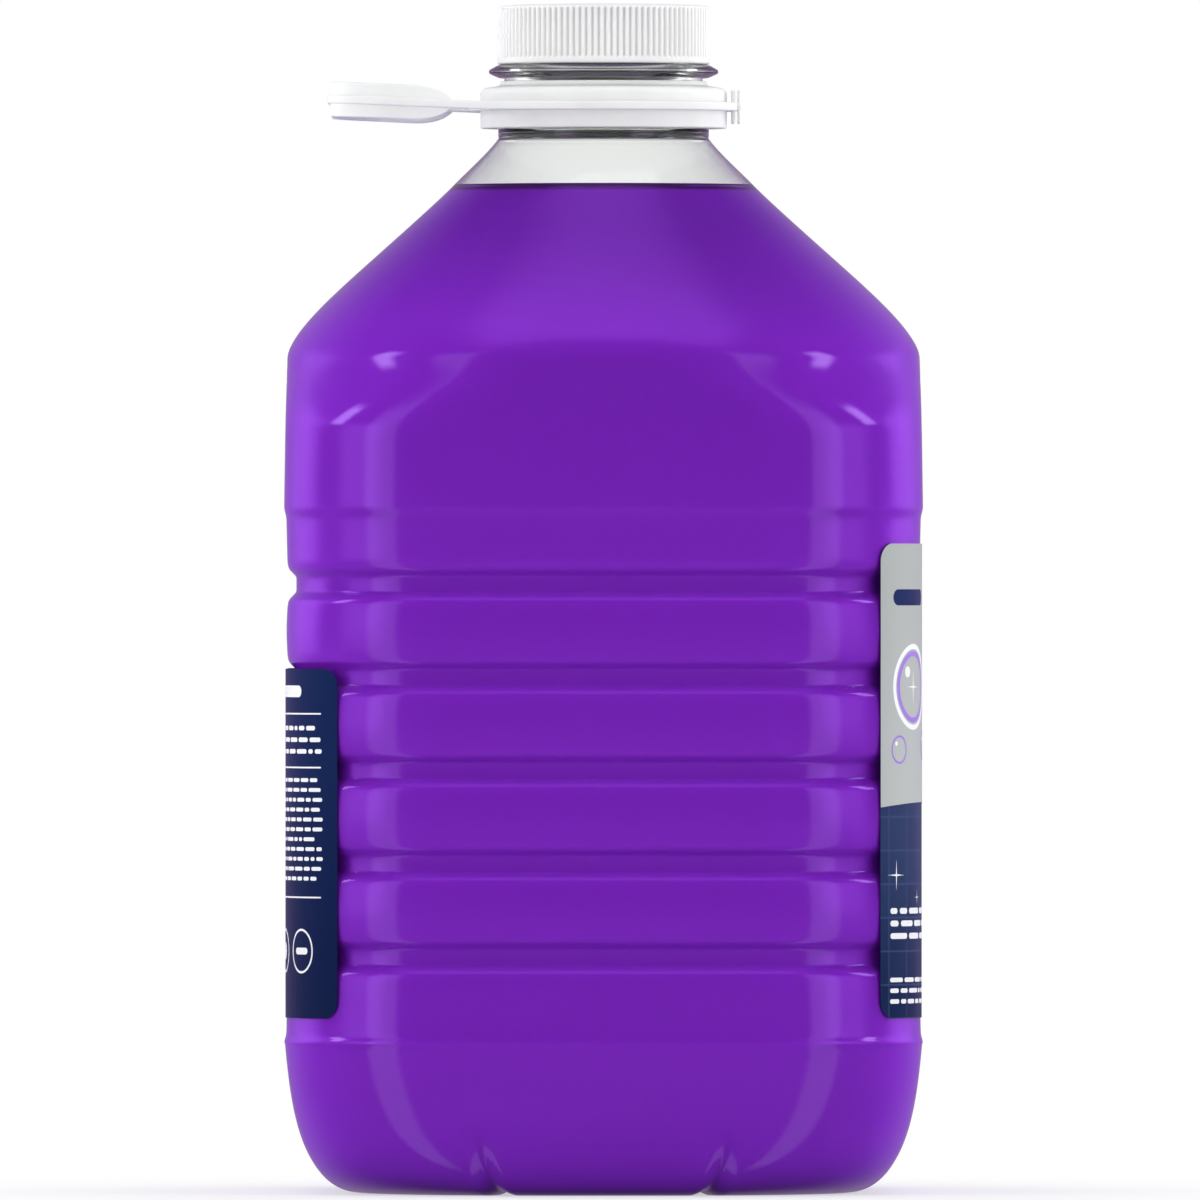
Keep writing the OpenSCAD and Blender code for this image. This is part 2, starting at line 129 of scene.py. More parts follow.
def make_piece(name: str, patches: Sequence[Patch], sharp_deg: Optional[float] = None) -> bpy.types.Object:
    """Puts patches into one smooth-shaded mesh object at the origin.

    Args:
        name: The piece's name.
        patches: Closed surfaces in millimetres.
        sharp_deg: Edges that turn by more than this stay crisp; None leaves all smooth.

    Returns:
        The linked object.
    """
    offsets = np.cumsum([0] + [len(p.points) for p in patches])
    points = np.vstack([p.points for p in patches]) * MM
    quads = np.vstack([p.quads + o for p, o in zip(patches, offsets)])
    tris = np.vstack([p.tris + o for p, o in zip(patches, offsets)])
    mesh = bpy.data.meshes.new(name)
    mesh.vertices.add(len(points))
    mesh.vertices.foreach_set("co", points.ravel().astype(np.float32))
    corners = np.concatenate([quads.ravel(), tris.ravel()]).astype(np.int32)
    mesh.loops.add(len(corners))
    mesh.loops.foreach_set("vertex_index", corners)
    starts = np.concatenate([
        np.arange(len(quads)) * 4,
        len(quads) * 4 + np.arange(len(tris)) * 3,
    ]).astype(np.int32)
    mesh.polygons.add(len(starts))
    mesh.polygons.foreach_set("loop_start", starts)
    mesh.polygons.foreach_set("use_smooth", np.ones(len(starts), bool))
    mesh.update(calc_edges=True)
    mesh.validate()
    if sharp_deg is not None:
        mesh.set_sharp_from_angle(angle=math.radians(sharp_deg))
    made = bpy.data.objects.new(name, mesh)
    bpy.context.scene.collection.objects.link(made)
    return made


def finish_piece(
    made: bpy.types.Object, body: str, material: bpy.types.Material, replaced: Sequence[str] = ()
) -> None:
    """Rides a piece on its body and finish, and logs it.

    Args:
        made: The piece.
        body: The body that carries it.
        material: The finish.
        replaced: The nodes that the piece stands for.
    """
    made.data.materials.append(material)
    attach(made, body)
    if replaced:
        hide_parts(*replaced)
    LOG.info("%s: %d faces on body %s", made.name, len(made.data.polygons), body)


def rounded(points: np.ndarray, cut: np.ndarray, steps: int = 5) -> np.ndarray:
    """Rounds the corners of a path of points.

    A corner P turns into (1-t)^2 A + 2t(1-t) P + t^2 B for t from 0 to 1, where A and B lie `cut`
    before and after P, or CUT_SHARE of the way to the next corner where that is less.

    Args:
        points: Paths, (..., corners, values); the first two values are the distances that `cut` measures.
        cut: Length cut off at each corner; 0 keeps the corner.
        steps: Points put in for a rounded corner.

    Returns:
        The rounded paths, (..., points, values). Each corner gives the same number of points.
    """
    before, after = np.roll(points, 1, axis=-2), np.roll(points, -1, axis=-2)
    into = np.linalg.norm((before - points)[..., :2], axis=-1, keepdims=True) + 1e-9
    away = np.linalg.norm((after - points)[..., :2], axis=-1, keepdims=True) + 1e-9
    cut = np.asarray(cut, float)[..., None]
    start = points + (before - points) * np.minimum(cut / into, CUT_SHARE)
    end = points + (after - points) * np.minimum(cut / away, CUT_SHARE)
    t = np.linspace(0, 1, steps)[:, None]
    curve = (
        start[..., None, :] * (1 - t) ** 2
        + 2 * t * (1 - t) * points[..., None, :]
        + end[..., None, :] * t ** 2
    )
    return curve.reshape(*points.shape[:-2], -1, points.shape[-1])


def rounded_path(points: np.ndarray, cut: np.ndarray, steps: int = 5) -> np.ndarray:
    """Rounds an open path and drops the repeats where `cut` is 0; see rounded."""
    cut = np.asarray(cut, float)
    keep = (cut > 0)[:, None] | (np.arange(steps) == 0)
    return rounded(points, cut, steps)[keep.ravel()]


def evened(rows: np.ndarray, step: float) -> np.ndarray:
    """Puts extra rows in a path so that its first two values never move further than a step at once."""
    size = np.linalg.norm(np.diff(rows[:, :2], axis=0), axis=1)
    count = np.maximum(1, np.ceil(size / step)).astype(int)
    at = np.concatenate([i + np.arange(n) / n for i, n in enumerate(count)] + [[len(rows) - 1]])
    return np.stack([np.interp(at, np.arange(len(rows)), column) for column in rows.T], axis=-1)


def bezier(controls: Sequence[Sequence[float]], t: np.ndarray) -> np.ndarray:
    """Cubic curve (1-t)^3 a + 3t(1-t)^2 b + 3t^2(1-t) c + t^3 d through rows of values."""
    a, b, c, d = (np.asarray(p, float) for p in controls)
    t = t[:, None]
    return (1 - t) ** 3 * a + 3 * t * (1 - t) ** 2 * b + 3 * t ** 2 * (1 - t) * c + t ** 3 * d


def steps_round(count: int) -> np.ndarray:
    """Equal steps of angle round a turn, from 0."""
    return np.arange(count) * TURN / count


def lathe_points(profile: np.ndarray, angles: np.ndarray) -> np.ndarray:
    """Carries a profile of (radius, height) round the Z axis: (r cos a, r sin a, z)."""
    r, z = profile[:, :1], profile[:, 1:2]
    return np.stack([r * np.cos(angles), r * np.sin(angles), z + 0 * angles], axis=-1)


def rounded_block(low: Sequence[float], high: Sequence[float], radius: float) -> Patch:
    """A box with rounded edges, built up from level sections with round corners.

    Towards both ends the sections shrink by radius (1 - sin b) and move by radius (1 - cos b), for b
    from 0 to 90 degrees, which rounds the end edges too.

    Args:
        low: Lowest corner.
        high: Highest corner.
        radius: Edge radius.

    Returns:
        The closed patch, with its poles at the middle of its lower and upper faces.
    """
    low, high = np.asarray(low, float), np.asarray(high, float)
    half, mid = (high - low) / 2, (high + low) / 2
    b = quarter = np.radians(np.linspace(0, 90, 4))
    shrink = np.concatenate([radius * (1 - np.sin(b)), radius * (1 - np.cos(b))])
    height = np.concatenate([
        -half[2] + radius * (1 - np.cos(b)), half[2] - radius * (1 - np.sin(b))
    ])
    a = np.concatenate([quarter + q * math.pi / 2 for q in range(4)])
    corner_x = np.repeat([1, -1, -1, 1], 4) * (half[0] - radius)
    corner_y = np.repeat([1, 1, -1, -1], 4) * (half[1] - radius)
    reach = radius - shrink[:, None]
    grid = np.stack([
        mid[0] + corner_x + reach * np.cos(a),
        mid[1] + corner_y + reach * np.sin(a),
        mid[2] + height[:, None] + 0 * a,
    ], axis=-1)
    ends = [np.array([mid[0], mid[1], mid[2] + s * half[2]]) for s in (-1, 1)]
    return grid_patch(grid, poles=ends)


class Piece:
    """A physical piece: it builds its own mesh, rides one body and stands for one node of the frame."""

    body: ClassVar[str] = "bottle"
    slot: ClassVar[Slot]
    node: ClassVar[str]

    def build(self) -> bpy.types.Object:
        """Builds the mesh object."""
        raise NotImplementedError

    def dress(self, material: bpy.types.Material) -> None:
        """Builds the piece and gives it its finish."""
        finish_piece(self.build(), self.body, material, [self.node])


# Materials


def linear(code: str) -> tuple[float, float, float, float]:
    """Turns an sRGB hex colour into linear values with full opacity.

    Args:
        code: Six hex digits after a hash.

    Returns:
        Red, green, blue and 1.
    """
    parts = [int(code[i:i + 2], 16) / 255 for i in (1, 3, 5)]
    r, g, b = (c / 12.92 if c <= 0.04045 else ((c + 0.055) / 1.055) ** 2.4 for c in parts)
    return r, g, b, 1.0


def add(
    tree: bpy.types.NodeTree, kind: str, values: Optional[dict[Any, Any]] = None,
    links: Optional[dict[Any, bpy.types.NodeSocket]] = None, **settings: Any
) -> bpy.types.Node:
    """Adds a node with its settings, socket values and incoming links.

    Args:
        tree: The node tree.
        kind: The node's type name.
        values: Socket values by input name or number.
        links: Sources by input name or number.
        **settings: The node's own properties.

    Returns:
        The node.
    """
    made = tree.nodes.new(kind)
    for name, value in settings.items():
        setattr(made, name, value)
    for key, value in (values or {}).items():
        made.inputs[key].default_value = value
    for key, source in (links or {}).items():
        tree.links.new(source, made.inputs[key])
    return made


def new_material(name: str) -> tuple[bpy.types.Material, bpy.types.NodeTree]:
    """Makes a material with an empty tree."""
    made = bpy.data.materials.new(name)
    made.use_nodes = True
    made.node_tree.nodes.clear()
    return made, made.node_tree


def surfaced(made: bpy.types.Material, shader: bpy.types.Node) -> bpy.types.Material:
    """Gives a material its surface and returns it."""
    add(made.node_tree, "ShaderNodeOutputMaterial", links={"Surface": shader.outputs[0]})
    return made


def calc(tree: bpy.types.NodeTree, operation: str, *terms: Any) -> bpy.types.NodeSocket:
    """Works out an operation on numbers and sockets."""
    made = add(tree, "ShaderNodeMath", operation=operation)
    for socket, term in zip(made.inputs, terms):
        if isinstance(term, bpy.types.NodeSocket):
            tree.links.new(term, socket)
        else:
            socket.default_value = term
    return made.outputs[0]


def spread(tree: bpy.types.NodeTree, value: bpy.types.NodeSocket, start: float, end: float, low: float = 0.0,
           high: float = 1.0, smooth: bool = False) -> bpy.types.NodeSocket:
    """Carries a value that runs from start to end over to low to high, straight or as an S-curve."""
    limits = {"From Min": start, "From Max": end, "To Min": low, "To Max": high}
    kind = "SMOOTHSTEP" if smooth else "LINEAR"
    made = add(tree, "ShaderNodeMapRange", limits, {"Value": value}, interpolation_type=kind)
    return made.outputs["Result"]


def position(tree: bpy.types.NodeTree) -> bpy.types.NodeSocket:
    """The place on the piece, in metres."""
    return add(tree, "ShaderNodeTexCoord").outputs["Object"]


def height(tree: bpy.types.NodeTree) -> bpy.types.NodeSocket:
    """The height on the piece, in metres."""
    return add(tree, "ShaderNodeSeparateXYZ", links={"Vector": position(tree)}).outputs["Z"]


def distance(tree: bpy.types.NodeTree, share: tuple[float, float, float]) -> bpy.types.NodeSocket:
    """The distance from the origin, in metres, with each direction taken at its share."""
    part = add(tree, "ShaderNodeVectorMath", {1: share}, {0: position(tree)}, operation="MULTIPLY")
    return add(tree, "ShaderNodeVectorMath", links={0: part.outputs[0]}, operation="LENGTH").outputs["Value"]


def noise(tree: bpy.types.NodeTree, period_mm: float, detail: float = 2.0) -> bpy.types.NodeSocket:
    """Noise from 0 to 1 whose blobs repeat about every period_mm."""
    settings = {"Scale": 1 / (period_mm * MM), "Detail": detail}
    return add(tree, "ShaderNodeTexNoise", settings, {"Vector": position(tree)}).outputs["Fac"]


def ramp(tree: bpy.types.NodeTree, factor: bpy.types.NodeSocket, stops: Sequence[tuple[float, str]]
         ) -> bpy.types.NodeSocket:
    """A colour that runs through the given (position, hex colour) stops."""
    made = add(tree, "ShaderNodeValToRGB", links={"Fac": factor})
    points = made.color_ramp.elements
    while len(points) < len(stops):
        points.new(0.5)
    for point, (at, code) in zip(points, stops):
        point.position, point.color = at, linear(code)
    return made.outputs["Color"]


def mix_colours(tree: bpy.types.NodeTree, factor: bpy.types.NodeSocket, base: bpy.types.NodeSocket, code: str
                ) -> bpy.types.NodeSocket:
    """Mixes a hex colour over a base by a factor and returns the result."""
    made = tree.nodes.new("ShaderNodeMix")
    made.data_type = "RGBA"
    tree.links.new(factor, made.inputs[0])
    tree.links.new(base, made.inputs[6])
    made.inputs[7].default_value = linear(code)
    return made.outputs[2]


def bump(tree: bpy.types.NodeTree, relief: bpy.types.NodeSocket, depth_mm: float, strength: float = 1.0,
         under: Optional[bpy.types.NodeSocket] = None) -> bpy.types.NodeSocket:
    """Turns a height from 0 to 1 into a normal, for relief depth_mm deep, on top of another normal."""
    links = {"Height": relief} | ({"Normal": under} if under else {})
    made = add(tree, "ShaderNodeBump", {"Strength": strength, "Distance": depth_mm * MM}, links)
    return made.outputs["Normal"]


@dataclass(frozen=True)
class BlownPet:
    """Stretch-blown PET: water-clear with a faint green-grey tint, mirror-glossy, in gentle waves.

    The waves are where the wall thinned unevenly as it was blown, which bends the highlights a little.
    Painted shade: the steep upper face of the thick support flange is coloured grey.
    """

    tint: str = "#fcfefc"
    # Painted shade: a grey colour on the flange's steep upper face, over the heights below.
    painted_flange_shade: str = "#868886"
    painted_flange_shade_mm: tuple[float, float] = (252.2, 253.4)
    ior: float = 1.5
    roughness: float = 0.08
    wave_mm: float = 26.0
    wave_depth_mm: float = 0.05
    skin_mm: float = 3.2
    skin_depth_mm: float = 0.003


    def material(self) -> bpy.types.Material:
        """Builds glass-like plastic that lets lamp rays through, so that the contents are lit."""
        made, tree = new_material("blown_clear_pet")
        waves = bump(tree, noise(tree, self.wave_mm, 1.0), self.wave_depth_mm)
        skin = bump(tree, noise(tree, self.skin_mm), self.skin_depth_mm, under=waves)
        low, high = self.painted_flange_shade_mm
        share = spread(tree, height(tree), (2 * low - high) * MM, (2 * high - low) * MM)
        # The painted grey shade on the flange's steep face is the middle third of the ramp.
        tint_with_painted_shade = ramp(tree, share, (
            (0.29, self.tint), (0.34, self.painted_flange_shade), (0.66, self.painted_flange_shade), (0.71, self.tint),
        ))
        clear = add(tree, "ShaderNodeBsdfPrincipled", {
            "Transmission Weight": 1.0, "IOR": self.ior, "Roughness": self.roughness,
        }, {"Normal": skin, "Base Color": tint_with_painted_shade})
        passing = add(tree, "ShaderNodeBsdfTransparent", {"Color": linear(self.tint)})
        ray = add(tree, "ShaderNodeLightPath")
        return surfaced(made, add(tree, "ShaderNodeMixShader", links={
            0: ray.outputs["Is Shadow Ray"], 1: clear.outputs[0], 2: passing.outputs[0],
        }))


@dataclass(frozen=True)
class DyedCleaner:
    """Water-thin cleaner with a strong violet dye, darker towards the surface; painted light lifts the foot.
    """

    body: str = "#8525c6"
    # Painted light: a lighter violet at the foot, where the heel faces down into shade.
    foot: str = "#8e2bd2"
    upper: str = "#8023c0"
    top: str = "#6a1ba6"
    # Painted shade: a dark band at the liquid's level, at the meniscus.
    painted_meniscus_shade: str = "#38104f"
    gloss: str = "#b45cff"
    ior: float = 1.8
    roughness: float = 0.2
    glow_mm: tuple[float, float, float] = (4.0, 1.0, 7.0)
    level_mm: float = 225.6
    full_mm: float = 226.0
    painted_meniscus_shade_mm: tuple[float, float] = (0.9, 0.4)
    cloud_mm: float = 60.0
    cloud: float = 0.08

    def material(self) -> bpy.types.Material:
        """Builds an opaque violet with light scattered a few millimetres below its surface.

        The refractive index is set above water's, so that the gloss is as strong and as violet as where
        the clear wall and the dyed liquid behind it both mirror the light.
        """
        made, tree = new_material("dyed_liquid_cleaner")
        up = height(tree)
        drift = calc(tree, "MULTIPLY", noise(tree, self.cloud_mm, 1.0), self.cloud)
        level = calc(tree, "ADD", spread(tree, up, 0.0, self.full_mm * MM), drift)
        # The ramp paints light at the foot and runs darker towards the surface.
        colour = ramp(tree, level, (
            (0.02, self.foot), (0.14, self.body), (0.7, self.body), (0.9, self.upper), (1.0, self.top),
        ))
        # Painted shade: the colour turns dark from just under the level upwards, at the meniscus.
        low, high = ((self.level_mm - drop) * MM for drop in self.painted_meniscus_shade_mm)
        colour = mix_colours(tree, spread(tree, up, low, high), colour, self.painted_meniscus_shade)
        return surfaced(made, add(tree, "ShaderNodeBsdfPrincipled", {
            "Roughness": self.roughness, "IOR": self.ior, "Specular Tint": linear(self.gloss),
            "Subsurface Weight": 0.35, "Subsurface Radius": self.glow_mm, "Subsurface Scale": MM,
        }, {"Base Color": colour}))


@dataclass(frozen=True)
class MouldedPlastic:
    """Injection-moulded white polyolefin: satin, slightly waxy, with a fine spark-eroded grain."""

    name: str
    colour: str
    shade: str
    roughness: float
    grain_mm: float
    grain_depth_mm: float
    # Painted shade: the grey laid in the grooves, between the radii below.
    painted_groove_shade: str = "#dedede"
    painted_groove_shade_mm: tuple[float, float] = (0.0, 0.0)
    below_mm: float = 0.0
    mottle_mm: float = 9.0
    patch_mm: float = 4.0

    def material(self) -> bpy.types.Material:
        """Builds the white with uneven gloss, soft mottling, a fine grain and painted shade in its grooves.

        The painted shade is where the axis distance is between the two of painted_groove_shade_mm, under
        below_mm.
        """
        made, tree = new_material(self.name)
        colour = ramp(tree, noise(tree, self.mottle_mm, 3.0), ((0.3, self.shade), (0.7, self.colour)))
        # Painted shade: darker in the rib grooves, under the top.
        if self.below_mm:
            away = distance(tree, (1.0, 1.0, 0.0))
            inner, outer = (r * MM for r in self.painted_groove_shade_mm)
            groove = spread(tree, away, outer, (inner + outer) / 2)
            groove = calc(tree, "MULTIPLY", groove, calc(tree, "GREATER_THAN", away, inner))
            under = calc(tree, "LESS_THAN", height(tree), self.below_mm * MM)
            colour = mix_colours(tree, calc(tree, "MULTIPLY", groove, under), colour, self.painted_groove_shade)
        patches = noise(tree, self.patch_mm)
        gloss = spread(tree, patches, 0.0, 1.0, self.roughness - 0.05, self.roughness + 0.07)
        grain = bump(tree, noise(tree, self.grain_mm, 3.0), self.grain_depth_mm, 0.6)
        return surfaced(made, add(tree, "ShaderNodeBsdfPrincipled", {
            "IOR": 1.49, "Subsurface Weight": 0.04, "Subsurface Radius": (1.0, 1.0, 1.0),
            "Subsurface Scale": 1.2 * MM,
        }, {"Base Color": colour, "Roughness": gloss, "Normal": grain}))


@dataclass(frozen=True)
class PrintedFilm:
    """Reverse-printed polypropylene film: smooth ink under a satin face with the faint tooth of the press."""

    name: str
    low: str
    high: str
    span_mm: tuple[float, float]
    tile_mm: float = 0.0
    tile: str = "#3a4d78"
    roughness: float = 0.34
    tooth_mm: float = 0.8
    tooth_depth_mm: float = 0.004

    def material(self) -> bpy.types.Material:
        """Builds ink that runs from one colour to another up the label, under a faint tile pattern."""
        made, tree = new_material(self.name)
        foot, head = (z * MM for z in self.span_mm)
        level = spread(tree, height(tree), foot, head, smooth=True)
        colour = ramp(tree, level, ((0.0, self.low), (1.0, self.high)))
        if self.tile_mm:
            sheet = add(tree, "ShaderNodeAttribute", attribute_name="sheet_mm").outputs["Vector"]
            tiles = add(tree, "ShaderNodeTexBrick", {
                "Color1": (0, 0, 0, 1), "Color2": (0.12, 0.12, 0.12, 1), "Mortar": (0.55, 0.55, 0.55, 1),
                "Scale": 1 / self.tile_mm, "Mortar Size": 0.035, "Mortar Smooth": 0.6,
                "Brick Width": 1.0, "Row Height": 1.0,
            }, {"Vector": sheet}, offset=0.0)
            colour = mix_colours(tree, tiles.outputs["Color"], colour, self.tile)
        tooth = bump(tree, noise(tree, self.tooth_mm), self.tooth_depth_mm, 0.5)
        return surfaced(made, add(tree, "ShaderNodeBsdfPrincipled", {
            "Roughness": self.roughness, "IOR": 1.49, "Specular IOR Level": 0.12,
        }, {"Base Color": colour, "Normal": tooth}))


# The bottle and its contents


@dataclass
class BlownBottle(Piece):
    """The blown bottle: its sizes, its profile and its one closed surface."""

    slot = Slot.SHELL
    node = "bottle"

    width: float
    depth: float
    top: float
    corner: float = 34.0
    wall: float = 0.5
    heel: float = 35.0
    panel: float = 117.5
    band: float = 34.5
    shoulder: float = 38.5
    flare: float = 11.4
    flare_radius: float = 34.5
    grooves: int = 5
    groove_pitch: float = 20.8
    groove_first: float = 18.3
    groove_depth: float = 1.9
    groove_mouth: float = 7.0
    groove_floor: float = 3.4
    recess: float = 0.5
    bow: float = 0.35
    foot: float = 54.0
    foot_ring: float = 4.0
    foot_corner: float = 40.0
    push_up: float = 10.0
    spoke_depth: float = 1.3
    spoke_height: float = 15.5
    spoke_half_deg: float = 3.0
    neck_radius: float = 22.3
    ledge_radius: float = 23.7
    ledge: float = 2.1
    seat: float = 11.4
    flange_radius: float = 25.8
    flange: float = 3.0
    finish_radius: float = 20.9
    bore: float = 19.2
    thread_lead: float = 4.23
    thread_turns: float = 1.25
    thread_depth: float = 1.0
    thread_base: float = 2.0
    thread_rise: float = 2.2
    step_round: float = 0.7
    floor_round: float = 0.5
    brow: float = 17.0
    brow_corner: float = 56.0
    brow_inset: float = 0.5
    brow_lead: float = 6.0
    brow_swell: float = 8.0
    angles: np.ndarray = field(init=False)

    def __post_init__(self) -> None:
        """Works out the levels and the directions of the columns, closest at the corners and base grooves."""
        self.panel_low = self.heel
        self.panel_high = self.heel + self.panel
        self.band_high = self.panel_high + self.band
        self.shoulder_high = self.band_high + self.shoulder
        self.neck_low = self.shoulder_high + self.flare
        self.seat_low = self.neck_low + self.ledge
        self.flange_low = self.seat_low + self.seat
        self.flange_high = self.flange_low + self.flange
        knots = (0, 19.0, 22.5, 26.0, 28, 62, 64.0, 67.5, 71.0, 90)
        counts = (5, 5, 5, 1, 24, 1, 5, 5, 5)
        quarter = np.concatenate([
            np.linspace(a, b, n, endpoint=False) for a, b, n in zip(knots, knots[1:], counts)
        ])
        self.angles = np.radians(np.concatenate([quarter + 90 * q for q in range(4)]))

    def inset_rows(self, rows: Sequence[Sequence[float]]) -> np.ndarray:
        """Turns (height, inset, corner) into (height, half width, half depth, corner, groove)."""
        z, inset, corner = np.asarray(rows, float).T
        return np.stack([z, self.width / 2 - inset, self.depth / 2 - inset, corner, 0 * z], axis=-1)

    def base_rows(self) -> tuple[np.ndarray, np.ndarray]:
        """The pushed-up base, z = push (1 - s^2), the ring it stands on, and the heel's cubic curve."""
        inner = self.foot - self.foot_ring
        s = np.linspace(0.06, 0.97, 14)
        dome = np.stack([
            self.push_up * (1 - s ** 2), inner * s, inner * s, self.foot_corner * s,
            np.clip((s - 0.3) / 0.5, 0, 1),
        ], axis=-1)
        ring = np.array([[0, h, h, self.foot_corner * h / self.foot, 1] for h in (inner, self.foot)], float)
        t = np.linspace(0.02, 0.97, 42)
        curve = bezier((
            (0, self.foot, self.foot, self.foot_corner),
            (0, self.width / 2 - 4, self.depth / 2 - 4, 38),
            (self.heel * 0.54, self.width / 2 - 1.3, self.depth / 2 - 1.3, 36),
            (self.heel, self.width / 2 - 0.1, self.depth / 2 - 0.1, self.corner),
        ), t)
        climb = np.clip(1 - (curve[:, :1] / self.spoke_height) ** 2, 0, 1)
        rows = np.vstack([dome, ring, np.hstack([curve, climb])])
        cut = np.zeros(len(rows))
        cut[len(dome):len(dome) + 2] = 1.2
        return rows, cut

    def panel_rows(self) -> tuple[np.ndarray, np.ndarray]:
        """The recessed panel: a step, then a groove every pitch between lands that bow out, then a step."""
        inset = self.recess + self.bow
        groove = inset + self.groove_depth
        ease = 0.8
        corners = [(self.panel_low - ease, 0, self.corner), (self.panel_low + ease, self.recess, self.corner)]
        cut = [1.0, 1.0]
        for i in range(self.grooves):
            middle = self.panel_low + self.groove_first + self.groove_pitch * i
            mouth, floor = self.groove_mouth / 2, self.groove_floor / 2
            corners += [
                (middle - mouth - 1.6, inset - 0.12, self.corner),
                (middle - mouth, inset + 0.15, self.corner),
                (middle - floor, groove, self.corner - self.groove_depth),
                (middle + floor, groove, self.corner - self.groove_depth),
                (middle + mouth, inset + 0.15, self.corner),
                (middle + mouth + 1.6, inset - 0.12, self.corner),
            ]
            cut += [1.0, self.step_round, self.floor_round, self.floor_round, self.step_round, 1.0]
            if i < self.grooves - 1:
                corners.append((middle + self.groove_pitch / 2, self.recess, self.corner))
                cut.append(4.0)
        corners += [
            (self.panel_high - ease, self.recess, self.corner), (self.panel_high + ease, 0, self.corner),
        ]
        cut += [1.0, 1.0]
        return self.inset_rows(corners), np.array(cut)

    def shoulder_rows(self) -> np.ndarray:
        """The top of the band, the shoulder and the flare, where the square turns into a circle.

        The shoulder, the flare and the corner radius up the band and the shoulder are all cubic curves. The
        radius goes on growing a short way up the shoulder, so that the corners lean in without a step.
        """
        r = self.flare_radius
        u = np.linspace(0, 1, 14, endpoint=False)
        wide, swell = self.brow_corner, self.brow_swell
        corner = bezier(((self.corner,), (self.corner,), (wide - self.brow_lead,), (wide,)), u)[:, 0]
        brow = self.inset_rows(np.stack([
            self.band_high - self.brow * (1 - u), self.brow_inset * (1 + u) / 2, corner,
        ], axis=-1))
        w, d = self.width / 2 - self.brow_inset, self.depth / 2 - self.brow_inset
        throat = self.ledge_radius - 0.15
        t = np.linspace(0, 0.985, 44)
        shoulder = bezier((
            (self.band_high, w, d, 0), (self.band_high + self.shoulder * 0.2, w, d, 0),
            (self.shoulder_high - self.shoulder * 0.45, r + 18, r + 18, 0),
            (self.shoulder_high, r, r, 0),
        ), t)
        shoulder[:, 3] = bezier(((wide,), (wide + swell,), (wide - swell,), (r,)), t)[:, 0]
        s = np.linspace(0, 1, 20)
        flare = bezier(((r,), (r - 3.6,), (throat + 2.8,), (throat,)), s)[:, 0]
        rise = self.shoulder_high + self.flare * s
        upper = np.vstack([shoulder, np.stack([rise, flare, flare, flare], axis=-1)])
        return np.vstack([brow, np.hstack([upper, np.zeros((len(upper), 1))])])

    def shell_rows(self) -> np.ndarray:
        """All rows of the blown part, from beside the middle of the base up to the neck's ledge."""
        base, base_cut = self.base_rows()
        panel, panel_cut = self.panel_rows()
        shoulder = self.shoulder_rows()
        cut = np.concatenate([base_cut, panel_cut, np.zeros(len(shoulder))])
        return evened(rounded_path(np.vstack([base, panel, shoulder]), cut), 1.6)

    def ring(self, rows: np.ndarray, inward: float) -> np.ndarray:
        """Points of rows moved inwards by a distance along the profile's normal.

        A ray at angle a leaves a rectangle w by d with corner radius r at w / cos a, d / sin a, or on
        the corner's circle at m + sqrt(m^2 - |c|^2 + r^2), where c is the corner's centre and m its
        distance along the ray.

        Args:
            rows: Height, half width, half depth, corner radius and share of the base groove.
            inward: Distance from the outer surface.

        Returns:
            Points, rows by columns by 3.
        """
        run, rise = np.gradient(rows[:, 1]), np.gradient(rows[:, 0])
        size = np.hypot(run, rise) + 1e-9
        out, up = (rise / size)[:, None], (-run / size)[:, None]
        spoke = np.abs(np.degrees(self.angles) % 45 - 22.5)
        spoke = np.clip(1 - spoke / self.spoke_half_deg, 0, 1) ** 1.25
        depth = inward + rows[:, 4:5] * self.spoke_depth * spoke
        w, d = rows[:, 1:2] - depth * out, rows[:, 2:3] - depth * out
        r = np.minimum(rows[:, 3:4] - depth * out, np.minimum(w, d) - 1e-4)
        c, s = np.abs(np.cos(self.angles)) + 1e-9, np.abs(np.sin(self.angles)) + 1e-9
        cx, cy = w - r, d - r
        along = c * cx + s * cy
        on_arc = along + np.sqrt(np.maximum(0, along ** 2 - cx ** 2 - cy ** 2 + r ** 2))
        reach = np.where(w * s <= cy * c, w / c, np.where(d * c <= cx * s, d / s, on_arc))
        z = rows[:, :1] - depth * up
        return np.stack([reach * np.cos(self.angles), reach * np.sin(self.angles), z + 0 * reach], axis=-1)

    def thread(self, points: np.ndarray, later: float = 0.0, outward: float = 1.0) -> np.ndarray:
        """Raises the neck's thread, or the cap's that runs between its turns, on a grid of points.

        The ridge at angle a has its middle at z0 + lead (a / turn + n) and stands depth times
        clip(2 - 4 |z - middle| / base, 0, 1), faded over the first and last eighth of a turn.

        Args:
            points: Points on a round wall.
            later: How much higher than the neck's thread the ridge runs.
            outward: 1 for a ridge away from the axis, -1 for one towards it.

        Returns:
            The points with the ridge.
        """
        a = np.arctan2(points[..., 1], points[..., 0]) % TURN / TURN
        z0 = self.flange_high + self.thread_rise + later
        height = np.zeros(points.shape[:2])
        for n in range(math.ceil(self.thread_turns)):
            along = a + n
            off = np.abs(points[..., 2] - z0 - self.thread_lead * along)
            ridge = np.clip(2 - 4 * off / self.thread_base, 0, 1)
            fade = np.clip(np.minimum(along, self.thread_turns - along) * 8, 0, 1)
            height = np.maximum(height, self.thread_depth * ridge * fade)
        radius = np.hypot(points[..., 0], points[..., 1])
        scale = ((radius + outward * height) / radius)[..., None]
        return np.concatenate([points[..., :2] * scale, points[..., 2:]], axis=-1)

